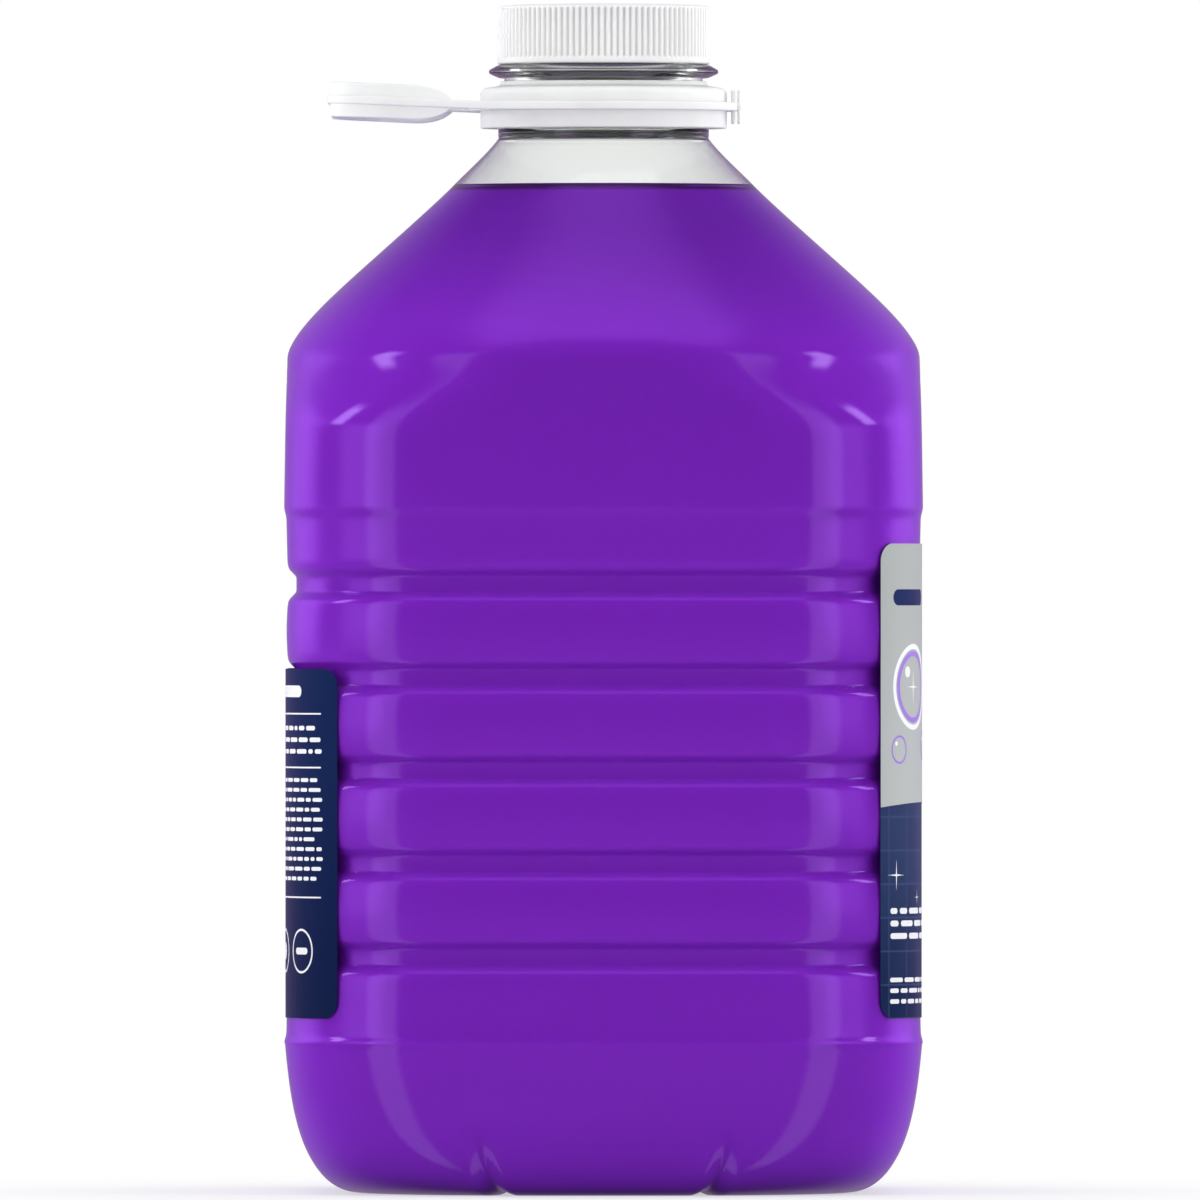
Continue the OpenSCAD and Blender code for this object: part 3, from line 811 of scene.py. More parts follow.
    def neck_profile(self) -> tuple[np.ndarray, np.ndarray]:
        """Corners of the neck as (radius, height), up the outside to the lip and down the bore, with cuts."""
        lip, low, high = self.top, self.flange_low, self.flange_high
        inner = self.neck_radius - 1.8
        outside = [
            (self.ledge_radius, self.neck_low + 0.25, 0.2), (self.ledge_radius, self.seat_low, 0.35),
            (self.neck_radius, self.seat_low, 0.4), (self.neck_radius, low, 0.3),
            (self.neck_radius + 1.2, low, 0.4), (self.flange_radius, low + self.flange * 0.34, 0.35),
            (self.flange_radius, low + self.flange * 0.6, 0.35), (self.neck_radius + 1.3, high, 0.5),
            (self.finish_radius + 0.5, high, 0.3), (self.finish_radius, high + 0.6, 0.3),
        ]
        wall = [(self.finish_radius, z, 0) for z in np.linspace(high + 0.9, lip - 0.7, 30)]
        inside = [
            (self.finish_radius, lip - 0.4, 0.15), (self.finish_radius - 0.4, lip, 0.2),
            (self.bore + 0.3, lip, 0.15), (self.bore, lip - 0.3, 0.15),
            (self.bore, low, 1.0), (inner, low - 2, 1.0), (inner, self.seat_low, 2.0),
            (self.ledge_radius - 0.15 - self.wall, self.neck_low - 0.4, 1.0),
        ]
        corners = np.array(outside + wall + inside)
        return corners[:, :2], corners[:, 2]

    def neck_grid(self) -> np.ndarray:
        """Points of the neck with its thread, on the same columns as the shell."""
        corners, cut = self.neck_profile()
        profile = rounded_path(corners, cut, 4)
        points = lathe_points(profile, self.angles)
        on_wall = np.abs(profile[:, 0] - self.finish_radius) < 1e-6
        points[on_wall] = self.thread(points[on_wall])
        return points

    def build(self) -> bpy.types.Object:
        """Builds the outer face, the neck and the inner face as one closed surface."""
        rows = self.shell_rows()
        outer = self.ring(rows, 0.0)
        inner = self.ring(rows[:-1], self.wall)[::-1]
        poles = (np.array([0, 0, self.push_up]), np.array([0, 0, self.push_up + self.wall]))
        grid = np.vstack([outer, self.neck_grid(), inner])
        return make_piece("blown_bottle", [grid_patch(grid, poles=poles)])


@dataclass
class LiquidFill(Piece):
    """The liquid: it wets the inside of the shell up to its level and creeps up the wall in a meniscus."""

    slot = Slot.LIQUID
    node = "cleaner_liquid"

    bottle: BlownBottle
    level: float
    bite: float = 0.22
    creep: float = 0.9
    creep_width: float = 1.3

    def build(self) -> bpy.types.Object:
        """Builds the shell's rows moved inwards, then a surface z = level + creep exp(-gap / width)."""
        inward = self.bottle.wall - self.bite
        side = self.bottle.ring(self.bottle.shell_rows(), inward)
        top = self.level + self.creep
        side = side[side[:, 0, 2] < top - 0.2]
        rim = side[-1]
        radius = np.hypot(rim[:, 0], rim[:, 1]).mean()
        gaps = np.array([0.15, 0.4, 0.8, 1.4, 2.2, 3.4, 5.0, 8.0, 13.0, 20.0, 28.0])
        shrink = ((radius - gaps) / radius)[:, None]
        climb = self.creep * np.exp(-gaps[:, None] / self.creep_width)
        flat = np.stack([
            rim[:, 0] * shrink, rim[:, 1] * shrink, self.level + climb + 0 * rim[:, 0],
        ], axis=-1)
        grid = np.vstack([side, flat])
        poles = (np.array([0, 0, self.bottle.push_up + inward]), np.array([0, 0, self.level]))
        return make_piece("liquid_fill", [grid_patch(grid, poles=poles)])


# The closure


@dataclass
class RibbedCap(Piece):
    """The screw cap: a ribbed skirt with a plain foot band, a low domed top and a thread inside."""

    body = "cap"
    slot = Slot.CAP
    node = "screw_cap"

    low: float
    high: float
    radius: float
    bottle: BlownBottle
    ribs: int = 105
    rib_depth: float = 0.6
    foot: float = 1.3
    top: float = 1.5
    clearance: float = 0.35
    columns_per_rib: int = 8

    def rib(self, a: np.ndarray) -> np.ndarray:
        """Depth of the groove between ribs at angle a: 0 on a crest and rib_depth in a groove."""
        phase = np.abs((a * self.ribs / TURN) % 1 - 0.5) * 2
        t = np.clip((phase - 0.35) / 0.42, 0, 1)
        return self.rib_depth * t * t * (3 - 2 * t)

    def build(self) -> bpy.types.Object:
        """Builds the cap as one surface: under the top, down the threaded bore, up the ribs, over the top."""
        a = steps_round(self.ribs * self.columns_per_rib)
        bore = self.bottle.finish_radius + self.bottle.thread_depth + self.clearance
        ceiling = self.high - self.top
        inside = [(4.0, ceiling, 0), (bore - 0.6, ceiling, 0), (bore, ceiling - 0.6, 0.3)]
        inside += [(bore, z, 0) for z in np.linspace(ceiling - 1.0, self.low + 0.9, 26)]
        inside += [(bore + 0.25, self.low + 0.1, 0.1), (bore + 0.5, self.low, 0.1)]
        r = self.radius
        rib_low, rib_high = self.low + self.foot, self.high - 0.75
        outside = [
            (r - 0.35, self.low, 0.15), (r - 0.05, self.low + 0.3, 0.15), (r - 0.05, rib_low - 0.15, 0),
            (r, rib_low + 0.05, 0), (r, rib_low + 0.5, 0), (r, (rib_low + rib_high) / 2, 0),
            (r, rib_high - 0.5, 0), (r - 0.06, rib_high, 0), (r - 0.3, self.high - 0.5, 0.2),
            (r - 1.5, self.high - 0.22, 0.4), (r - 4.6, self.high - 0.04, 0.5),
            (r - 6.2, self.high - 0.18, 0.3), (9.0, self.high - 0.12, 0.5), (2.2, self.high - 0.1, 0),
            (1.8, self.high - 0.02, 0.1), (0.5, self.high - 0.02, 0),
        ]
        corners = np.array(inside + outside)
        profile = rounded_path(corners[:, :2], corners[:, 2], 4)
        radius, z = profile[:, :1], profile[:, 1:]
        ribbed = np.clip(np.minimum((z - rib_low) / 0.4, (rib_high - z) / 0.35), 0, 1)
        ribbed = ribbed * (radius > r - 0.2)
        reach = radius - self.rib(a) * ribbed
        grid = np.stack([reach * np.cos(a), reach * np.sin(a), z + 0 * a], axis=-1)
        on_bore = np.abs(profile[:, 0] - bore) < 1e-6
        grid[on_bore] = self.bottle.thread(grid[on_bore], self.bottle.thread_lead / 2, -1.0)
        poles = (np.array([0, 0, ceiling]), np.array([0, 0, self.high - 0.02]))
        return make_piece("ribbed_cap", [grid_patch(grid, poles=poles)])


@dataclass
class FoamDisc(Piece):
    """The foam liner under the cap's top: a disc with a ring pressed in by the lip."""

    body = "liner"
    slot = Slot.LINER
    node = "cap_liner"

    low: float
    high: float
    radius: float
    lip: tuple[float, float] = (19.3, 20.7)
    dent: float = 0.12

    def build(self) -> bpy.types.Object:
        """Builds the disc; its underside is low + dent smooth-stepped outside the lip's own ring."""
        near, far = self.lip
        under = self.low + self.dent
        corners = np.array([
            (2.0, under, 0), (near - 0.5, under, 0.3), (near, self.low, 0.2), (far, self.low, 0.2),
            (far + 0.4, under, 0.2), (self.radius, under, 0.15), (self.radius, self.high, 0.15),
            (2.0, self.high, 0),
        ])
        profile = rounded_path(corners[:, :2], corners[:, 2], 4)
        poles = (np.array([0, 0, under]), np.array([0, 0, self.high]))
        return make_piece("foam_disc", [grid_patch(lathe_points(profile, steps_round(128)), poles=poles)], 40)


# The carry handle


@dataclass
class RingHandle(Piece):
    """The carry handle: a ribbed collar, a thin rim, a strap loop with an upright fin, and a front lug."""

    body = "handle"
    slot = Slot.HANDLE
    node = "carry_handle"

    seat: float
    reach: float
    rim: float
    bore: float = 22.6
    collar: float = 27.7
    collar_height: float = 10.6
    collar_wall: float = 1.5
    plate: float = 1.9
    plate_rise: float = 3.9
    arm: float = 4.5
    grip: float = 6.0
    corner: float = 12.0
    fin: float = 1.8
    fin_height: float = 7.8
    fin_inset: float = 0.7
    fin_run: float = 28.0
    fin_ease: float = 9.0
    tilt_deg: float = 2.5
    side_inset: float = 0.4
    edge: float = 0.45

    def collar_patches(self) -> list[Patch]:
        """The collar: a ring with a deep groove under it, crossed by small stiffening ribs."""
        z, top = self.seat, self.seat + self.collar_height
        inner, outer = self.bore + 1.2, self.collar - self.collar_wall
        corners = np.array([
            (self.bore, z + 0.05, 0.3), (inner, z + 0.05, 0.3), (inner, top - 3.3, 0.4),
            (outer, top - 3.3, 0.4), (outer, z, 0.35), (self.collar, z, 0.45), (self.collar, top - 2.4, 0.6),
            (self.collar - 0.8, top - 1.5, 0.8), (self.bore + 0.8, top - 1.0, 0.5),
            (self.bore + 0.6, top, 0.35), (self.bore, top, 0.3), (self.bore, z + 5, 0),
        ])
        profile = rounded(corners, corners[:, 2])[:, :2]
        ring = grid_patch(lathe_points(profile, steps_round(160)), wrap_rows=True)
        rib = rounded_block((inner - 0.4, -0.5, z + 0.7), (outer + 0.4, 0.5, top - 3.0), 0.2)
        return [ring] + [rib.moved(turned(math.radians(15 + 30 * i))) for i in range(12)]

    def rim_patch(self) -> Patch:
        """The thin rim round the collar, with rounded edges."""
        z = self.seat + self.plate_rise
        inner = self.collar - 0.7
        corners = np.array([
            (inner, z, 0.2), (self.rim, z, self.edge), (self.rim, z + self.plate, self.edge),
            (inner, z + self.plate, 0.2),
        ])
        profile = rounded(corners, corners[:, 2], 6)[:, :2]
        return grid_patch(lathe_points(profile, steps_round(192)), wrap_rows=True)

    def route(self) -> tuple[np.ndarray, np.ndarray]:
        """The loop's outer edge as points and inward directions, from one side of the rim to the other."""
        half = self.rim - self.side_inset
        r, x0 = self.corner, -self.reach
        arm_x = np.linspace(-1.0, x0 + r, 44)
        a = np.radians(np.linspace(0, 90, 20))[1:]
        bar_y = np.linspace(r - half, half - r, 26)[1:]
        near = np.stack([arm_x, 0 * arm_x - half], axis=-1)
        near_in = np.tile([0.0, 1.0], (len(arm_x), 1))
        bend = np.stack([x0 + r - r * np.sin(a), r - half - r * np.cos(a)], axis=-1)
        bend_in = np.stack([np.sin(a), np.cos(a)], axis=-1)
        bar = np.stack([0 * bar_y + x0, bar_y], axis=-1)
        bar_in = np.tile([1.0, 0.0], (len(bar_y), 1))
        flip = np.array([1.0, -1.0])
        points = np.vstack([near, bend, bar, bend[-2::-1] * flip, near[::-1] * flip])
        inward = np.vstack([near_in, bend_in, bar_in, bend_in[-2::-1] * flip, near_in[::-1] * flip])
        return points, inward

    def strap_patch(self) -> Patch:
        """The strap: a flat plate with an upright fin near its outer edge, carried round the loop.

        The fin's half height is top sqrt(1 - ((u - u0) / ease)^2) at a distance u from the loop's far
        end, and top where u is under u0; the plate's width eases from the grip's to the arms'.
        """
        points, inward = self.route()
        u = points[:, 0] + self.reach
        u0 = self.fin_run - self.fin_ease
        half = self.plate / 2 - 0.04
        rise = np.sqrt(np.clip(1 - (np.maximum(u - u0, 0) / self.fin_ease) ** 2, 0, 1)) * self.fin_height / 2
        rise = np.maximum(rise, half + 0.02)
        ease = np.clip(u / self.corner, 0, 1)
        width = self.grip + (self.arm - self.grip) * ease * ease * (3 - 2 * ease)
        near, far = self.fin_inset + 0 * u, self.fin_inset + self.fin + 0 * u
        zero, plate = 0 * u, half + 0 * u
        section = np.stack([
            np.stack(p, axis=-1) for p in (
                (width, -plate), (far, -plate), (far, -rise), (near, -rise), (near, -plate), (zero, -plate),
                (zero, plate), (near, plate), (near, rise), (far, rise), (far, plate), (width, plate),
            )
        ], axis=1)
        cut = np.array([0.5, 0.3, 0.5, 0.5, 0.2, 0.45, 0.45, 0.2, 0.5, 0.5, 0.3, 0.5])
        section = rounded(section, cut)
        place = points[:, None, :] + inward[:, None, :] * section[..., :1]
        middle = self.seat + self.plate_rise + self.plate / 2
        grid = np.concatenate([place, middle + section[..., 1:]], axis=-1)
        ends = grid[[0, -1]].mean(axis=1)
        return grid_patch(grid, poles=ends).moved(self.tilt)

    def tilt(self, points: np.ndarray) -> np.ndarray:
        """Raises the loop by tan(tilt) times the distance past the bend, eased over a few millimetres."""
        past = -(self.rim - 3) - points[:, 0]
        lift = 1.5 * np.log1p(np.exp(np.clip(past / 1.5, -30, 30)))
        lifted = points.copy()
        lifted[:, 2] += math.tan(math.radians(self.tilt_deg)) * lift
        return lifted

    def lug_patches(self) -> list[Patch]:
        """The lug at the front with its two thin upright ribs."""
        middle = self.seat + self.plate_rise + self.plate / 2
        blocks = (
            (-0.6, 3.2, 3.5, self.plate / 2 - 0.1, 0.3), (1.0, 1.9, 3.4, 3.75, 0.3),
            (2.45, 3.05, 3.4, 3.75, 0.25),
        )
        c = self.collar
        return [
            rounded_block((c + near, -wide, middle - tall), (c + far, wide, middle + tall), edge)
            for near, far, wide, tall, edge in blocks
        ]

    def build(self) -> bpy.types.Object:
        """Puts the handle's parts in one piece, which the gloss of the others doesn't mirror."""
        patches = self.collar_patches() + [self.rim_patch(), self.strap_patch()] + self.lug_patches()
        made = make_piece("ring_handle", patches, 50)
        made.visible_glossy = False
        return made


def turned(angle: float) -> Callable[[np.ndarray], np.ndarray]:
    """Returns a function that turns points about the Z axis by an angle in radians."""
    c, s = math.cos(angle), math.sin(angle)
    spin = np.array([[c, s, 0], [-s, c, 0], [0, 0, 1]])
    return lambda points: points @ spin


# The labels


@dataclass
class FilmLabel:
    """A film label that follows the panel over one face and round two corners, with print laid on it."""

    side: Side
    low: float
    height: float
    wrap_deg: float
    bottle: BlownBottle
    gap: float = 0.05
    film: float = 0.15
    corner: float = 4.0
    ink: float = 0.02
    sink: float = 0.005

    def __post_init__(self) -> None:
        """Works out the flat part's half width, the bend's radius and the sheet's half width."""
        self.bend = self.bottle.corner + self.gap
        self.face = self.bottle.width / 2 - self.bottle.recess + self.gap
        self.flat = self.bottle.depth / 2 - self.bottle.recess - self.bottle.corner
        self.half = self.flat + self.bend * math.radians(self.wrap_deg)

    def wrap(self, u: np.ndarray, v: np.ndarray, lift: np.ndarray) -> np.ndarray:
        """Lays sheet coordinates on the panel.

        For |u| under the flat half width the point is (face + lift, u). Past it, with
        a = (|u| - flat) / bend, it is (face - bend + (bend + lift) cos a, flat + (bend + lift) sin a).

        Args:
            u: Distance along the sheet from its middle.
            v: Height above the label's lower edge.
            lift: Height above the film's back.

        Returns:
            Points in the row frame.
        """
        a = np.maximum(np.abs(u) - self.flat, 0) / self.bend
        x = self.face - self.bend + (self.bend + lift) * np.cos(a)
        y = np.sign(u) * (np.minimum(np.abs(u), self.flat) + (self.bend + lift) * np.sin(a))
        s = self.side.value
        return np.stack([s * x, s * y, self.low + v + 0 * x], axis=-1)

    def sheet(self, name: str, back: float, front: float, lower: Callable[[np.ndarray], np.ndarray],
              columns: int = 150, rows: int = 40) -> bpy.types.Object:
        """Builds a thin closed sheet with round upper corners between a lower edge and the label's top.

        Args:
            name: The piece's name.
            back: Height of the sheet's back above the film's back.
            front: Height of its face.
            lower: Gives the lower edge's height for each u.
            columns: Points across.
            rows: Points up.

        Returns:
            The object, with the sheet's own place in the attribute sheet_mm.
        """
        t = np.linspace(-1, 1, columns)
        u = self.half * np.sin(t * math.pi / 2)
        over = np.maximum(np.abs(u) - (self.half - self.corner), 0)
        dip = self.corner - np.sqrt(np.maximum(self.corner ** 2 - over ** 2, 0))
        low, high = np.maximum(lower(u), dip), self.height - dip
        share = np.linspace(0, 1, rows)[:, None]
        v = low + (high - low) * share
        uu = np.broadcast_to(u, v.shape)
        face, rear = (self.wrap(uu, v, np.full(v.shape, lift)) for lift in (front, back))
        index = np.arange(v.size).reshape(v.shape)
        cells = np.stack([index[:-1, :-1], index[:-1, 1:], index[1:, 1:], index[1:, :-1]], axis=-1)
        cells = cells.reshape(-1, 4)
        edge = np.concatenate([index[0], index[1:, -1], index[-1, -2::-1], index[-2:0:-1, 0]])
        ahead = np.roll(edge, -1)
        rim = np.stack([edge + v.size, ahead + v.size, ahead, edge], axis=-1)
        quads = np.vstack([cells, cells[:, ::-1] + v.size, rim])
        patch = Patch(np.vstack([face.reshape(-1, 3), rear.reshape(-1, 3)]), quads, np.zeros((0, 3), int))
        made = make_piece(name, [patch], 50)
        flat = np.stack([uu.ravel(), v.ravel(), 0 * v.ravel()], axis=-1)
        marks = made.data.attributes.new("sheet_mm", "FLOAT_VECTOR", "POINT")
        marks.data.foreach_set("vector", np.vstack([flat, flat]).ravel().astype(np.float32))
        return made

    def stamp(self, outline: np.ndarray, u: float, v: float, base: float, rings: int = 3) -> Patch:
        """Lays a shape of ink on the label: a thin closed solid whose outline is seen from its middle.

        Args:
            outline: Points round the shape's middle, counter-clockwise, in millimetres.
            u: Place of its middle along the sheet.
            v: Place of its middle up the sheet.
            base: Height of the surface it lies on above the film's back.
            rings: Rows of points from the middle to the outline.

        Returns:
            The closed patch.
        """
        top = outline * np.linspace(1 / rings, 1, rings)[:, None, None]
        flat = np.concatenate([top, top[::-1]])
        lift = np.repeat([base + self.ink, base - self.sink], rings)[:, None] + 0 * flat[..., 0]
        grid = self.wrap(u + flat[..., 0], v + flat[..., 1], lift)[:, ::-1]
        middle = np.array([[u, u], [v, v], [base + self.ink, base - self.sink]])
        return grid_patch(grid, poles=self.wrap(*middle))

    def hoop(self, outline: np.ndarray, share: float, u: float, v: float, base: float) -> Patch:
        """Lays a ring-like shape of ink: the band between an outline and the same outline times a share.

        Args:
            outline: Points round the shape's middle, counter-clockwise, in millimetres.
            share: Size of the hole against the shape.
            u: Place of its middle along the sheet.
            v: Place of its middle up the sheet.
            base: Height of the surface it lies on above the film's back.

        Returns:
            The closed patch.
        """
        scale = np.array([share, (1 + share) / 2, 1, 1, (1 + share) / 2, share])[:, None, None]
        flat = outline * scale
        lift = np.repeat([base + self.ink, base - self.sink], 3)[:, None] + 0 * flat[..., 0]
        return grid_patch(self.wrap(u + flat[..., 0], v + flat[..., 1], lift)[:, ::-1], wrap_rows=True)

    def bar(self, length: float, tall: float, u: float, v: float, base: float) -> Patch:
        """Lays a bar of ink with round ends, with a section every millimetre so that it follows the bend.

        A section's half height is sqrt(r^2 - x^2), where r is half the bar's height and x the distance
        past the middle of the nearer round end.

        Args:
            length: Length along the sheet.
            tall: Height.
            u: Place of its middle along the sheet.
            v: Place of its middle up the sheet.
            base: Height of the surface it lies on above the film's back.

        Returns:
            The closed patch.
        """
        r = tall / 2
        straight = length / 2 - r
        end = straight + r * np.sin(np.radians([20, 45, 70]))
        along = np.linspace(-straight, straight, max(2, math.ceil(2 * straight) + 1))
        x = np.concatenate([-end[::-1], along, end])
        half = np.sqrt(np.maximum(r * r - np.maximum(np.abs(x) - straight, 0) ** 2, 0))
        side = np.array([1, 1, 0, -1, -1, 0])
        lift = base + np.where([0, 1, 1, 1, 0, 0], self.ink, -self.sink)
        place = x[:, None] + 0 * side
        grid = self.wrap(u + place, v + half[:, None] * side, lift + 0 * place)
        tips = self.wrap(u + np.array([-length, length]) / 2, np.full(2, v), np.full(2, base + self.ink / 2))
        return grid_patch(grid, poles=tips)

    def lines(self, left: float, right: float, heights: Sequence[float], tall: float, base: float, seed: int
              ) -> list[Patch]:
        """Lays rows of small round-ended bars that stand for lines of wording.

        Each row is cut into bars of 2 to 6 times their height, half a height apart, from a fixed draw.

        Args:
            left: Left end of the rows along the sheet.
            right: Right end.
            heights: Places of the rows up the sheet.
            tall: Height of a bar.
            base: Height of the surface they lie on above the film's back.
            seed: Picks the draw.

        Returns:
            The bars' patches.
        """
        draw = np.random.default_rng(seed)
        made = []
        for v in heights:
            ends = left + np.cumsum(draw.uniform(2.5, 6.5, 60) * tall)
            starts = np.concatenate([[left], ends[:-1]])
            for start, end in zip(starts[ends < right], ends[ends < right]):
                made.append(self.bar(end - start - 0.8 * tall, tall, (start + end) / 2, v, base))
        return made


def round_outline(radius: float, points: int = 40) -> np.ndarray:
    """A circle's outline."""
    a = steps_round(points)
    return radius * np.stack([np.cos(a), np.sin(a)], axis=-1)


def spark_outline(radius: float, points: int = 48, sharp: float = 0.12) -> np.ndarray:
    """A four-pointed sparkle: r = radius sharp / (sharp + |sin 2a|), longest up, down and across."""
    a = steps_round(points)
    r = radius * sharp / (sharp + np.abs(np.sin(2 * a)))
    return np.stack([r * np.cos(a), r * np.sin(a)], axis=-1)


# The studio


@dataclass(frozen=True)
class Panel:
    """A soft-edged bright area that gloss mirrors, at the same angle to the left and to the right.

    It lies middle degrees from the camera's side and level degrees above the horizon. It reaches half
    and rise degrees each way, with edges of soft and fade degrees.
    """

    middle: float
    half: float
    soft: float
    level: float
    rise: float
    fade: float
    power: float


@dataclass
class Studio:
    """Camera, lamps, floor and backdrop for a level, long-lens product picture."""

    picture_width: float = 270.0
    centre_x: float = -0.8
    centre_z: float = 133.0
    distance_m: float = 7.0
    sensor_mm: float = 36.0
    calm: float = 0.1
    ambient: float = 0.72
    inner: float = 0.95
    beyond: float = 1.0
    gel: str = "#e8c8ff"
    panels: tuple[Panel, ...] = (
        Panel(44.0, 12.0, 3.0, -16.0, 58.0, 8.0, 1.0),
        Panel(158.0, 36.0, 22.0, 0.0, 32.0, 16.0, 0.3),
        Panel(89.0, 6.0, 3.0, 34.0, 11.0, 3.0, 4.5),
    )

    def camera(self) -> None:
        """Places a level camera that looks along +Y, far enough away to look almost parallel."""
        data = bpy.data.cameras.new("camera")
        data.sensor_width = self.sensor_mm
        data.lens = self.sensor_mm * self.distance_m / (self.picture_width * MM)
        data.clip_start, data.clip_end = 0.1, 40.0
        made = bpy.data.objects.new("camera", data)
        made.location = (self.centre_x * MM, -self.distance_m, self.centre_z * MM)
        made.rotation_euler = (math.radians(90), 0, 0)
        bpy.context.scene.collection.objects.link(made)
        bpy.context.scene.camera = made

    def lamp(self, name: str, azimuth: float, elevation: float, distance: float, size: tuple[float, float],
             power: float, aim_z: float = 0.13) -> None:
        """Places a soft rectangular lamp aimed at the bottle; the surround shows it in the gloss instead.

        Args:
            name: The lamp's name.
            azimuth: Degrees from the camera's side, positive to the right.
            elevation: Degrees above the horizon.
            distance: Metres from the aim point.
            size: Width and height in metres.
            power: Watts.
            aim_z: Height of the aim point in metres.
        """
        data = bpy.data.lights.new(name, "AREA")
        data.shape, data.size, data.size_y, data.energy = "RECTANGLE", size[0], size[1], power
        made = bpy.data.objects.new(name, data)
        a, e = math.radians(azimuth), math.radians(elevation)
        back = Vector((math.sin(a) * math.cos(e), -math.cos(a) * math.cos(e), math.sin(e)))
        made.location = Vector((0, 0, aim_z)) + back * distance
        made.rotation_mode = "QUATERNION"
        made.rotation_quaternion = back.to_track_quat("Z", "Y")
        made.visible_glossy = False
        bpy.context.scene.collection.objects.link(made)

    def lamps(self) -> None:
        """Broad lamps on both sides, in front and behind, and one overhead for the shadow."""
        for side in (-1, 1):
            name = "left" if side < 0 else "right"
            self.lamp(f"key_{name}", side * 60, 0, distance=1.5, size=(0.9, 1.3), power=8.0)
            self.lamp(f"rim_{name}", side * 120, 4, distance=1.5, size=(0.9, 1.3), power=16.0)
        self.lamp("overhead", 0, 80, distance=1.6, size=(1.2, 1.2), power=8.0)

    def band(self, tree: bpy.types.NodeTree, value: bpy.types.NodeSocket, middle: float, half: float,
             soft: float) -> bpy.types.NodeSocket:
        """A soft-edged band: 1 where |value - middle| < half - soft, and 0 past half + soft, in degrees."""
        off = calc(tree, "ABSOLUTE", calc(tree, "SUBTRACT", value, math.radians(middle)))
        return spread(tree, off, math.radians(half + soft), math.radians(half - soft), smooth=True)

    def gloss(self, tree: bpy.types.NodeTree, place: bpy.types.NodeSocket) -> bpy.types.NodeSocket:
        """Brightness that glossy faces mirror: calm all round, with soft strips on each side and behind.

        With a the angle from the camera's side and e the angle above the horizon, it is
        calm + sum of power * band(|a|) * band(e) over the panels.
        """
        parts = add(tree, "ShaderNodeSeparateXYZ", links={"Vector": place}).outputs
        back = calc(tree, "MULTIPLY", parts["Y"], -1.0)
        a = calc(tree, "ABSOLUTE", calc(tree, "ARCTAN2", parts["X"], back))
        e = calc(tree, "ARCSINE", parts["Z"])
        total = self.calm
        for panel in self.panels:
            across = self.band(tree, a, panel.middle, panel.half, panel.soft)
            up = self.band(tree, e, panel.level, panel.rise, panel.fade)
            total = calc(tree, "MULTIPLY_ADD", calc(tree, "MULTIPLY", across, up), panel.power, total)
        return total

    def world(self) -> None:
        """A white surround for the camera and through clear plastic, and a calmer one for light and gloss."""
        made = bpy.data.worlds.new("studio_surround")
        made.use_nodes = True
        tree = made.node_tree
        tree.nodes.clear()
        place = add(tree, "ShaderNodeTexCoord").outputs["Generated"]
        up = add(tree, "ShaderNodeSeparateXYZ", links={"Vector": place}).outputs["Z"]
        through = ramp(tree, calc(tree, "ABSOLUTE", up), ((0.45, "#ffffff"), (0.95, "#a8aca8")))
        white = linear("#ffffff")
        lit, glossy, inner, passing, seen = (
            add(tree, "ShaderNodeBackground", values, links) for values, links in (
                ({"Color": white, "Strength": self.ambient}, {}),
                ({"Color": linear(self.gel)}, {"Strength": self.gloss(tree, place)}),
                ({"Color": white, "Strength": self.inner}, {}),
                ({"Strength": self.beyond}, {"Color": through}),
                ({"Color": white, "Strength": 1.0}, {}),
            )
        )
        ray = add(tree, "ShaderNodeLightPath").outputs
        direct = calc(tree, "LESS_THAN", ray["Diffuse Depth"], 0.5)
        clear = calc(tree, "MULTIPLY", ray["Is Transmission Ray"], direct)
        mirrored = calc(tree, "MULTIPLY", calc(tree, "GREATER_THAN", ray["Glossy Depth"], 0.5), direct)
        deep = calc(tree, "MULTIPLY", calc(tree, "GREATER_THAN", ray["Transmission Depth"], 2.5), mirrored)
        mixed = lit.outputs[0]
        for flag, shader in (
            (clear, passing), (mirrored, glossy), (deep, inner), (ray["Is Camera Ray"], seen),
        ):
            links = {0: flag, 1: mixed, 2: shader.outputs[0]}
            mixed = add(tree, "ShaderNodeMixShader", links=links).outputs[0]
        add(tree, "ShaderNodeOutputWorld", links={"Surface": mixed})
        bpy.context.scene.world = made

    def floor(self) -> None:
        """A broad pale floor that stays white to the camera apart from the bottle's own shadow."""
        columns = 96
        profile = np.array([(3000.0, 0.0), (300.0, 0.0), (40.0, 0.0)])
        rings = lathe_points(profile, steps_round(columns))[:, ::-1]
        index = np.arange(len(rings) * columns).reshape(-1, columns)
        across = np.roll(index, -1, axis=1)
        quads = np.stack([index[:-1], index[1:], across[1:], across[:-1]], axis=-1).reshape(-1, 4)
        tris = np.stack([np.full(columns, index.size), across[-1], index[-1]], axis=-1)
        points = np.vstack([rings.reshape(-1, 3), [[0, 0, 0]]])
        made = make_piece("studio_floor", [Patch(points, quads, tris)])
        made.data.materials.append(self.floor_material())
        made.visible_glossy = False

    def floor_material(self) -> bpy.types.Material:
        """White matt board: a shadow shows near the bottle, and the board fades to white further out."""
        made, tree = new_material("studio_board")
        fade = spread(tree, distance(tree, (1.0, 1.0, 1.0)), 0.09, 0.24, 0.55, 1.0, smooth=True)
        board = add(tree, "ShaderNodeBsdfPrincipled", {"Base Color": linear("#f4f4f4"), "Roughness": 0.7})
        white = add(tree, "ShaderNodeEmission", {"Color": linear("#ffffff"), "Strength": 1.0})
        seen = calc(tree, "MULTIPLY", add(tree, "ShaderNodeLightPath").outputs["Is Camera Ray"], fade)
        return surfaced(made, add(tree, "ShaderNodeMixShader", links={
            0: seen, 1: board.outputs[0], 2: white.outputs[0],
        }))

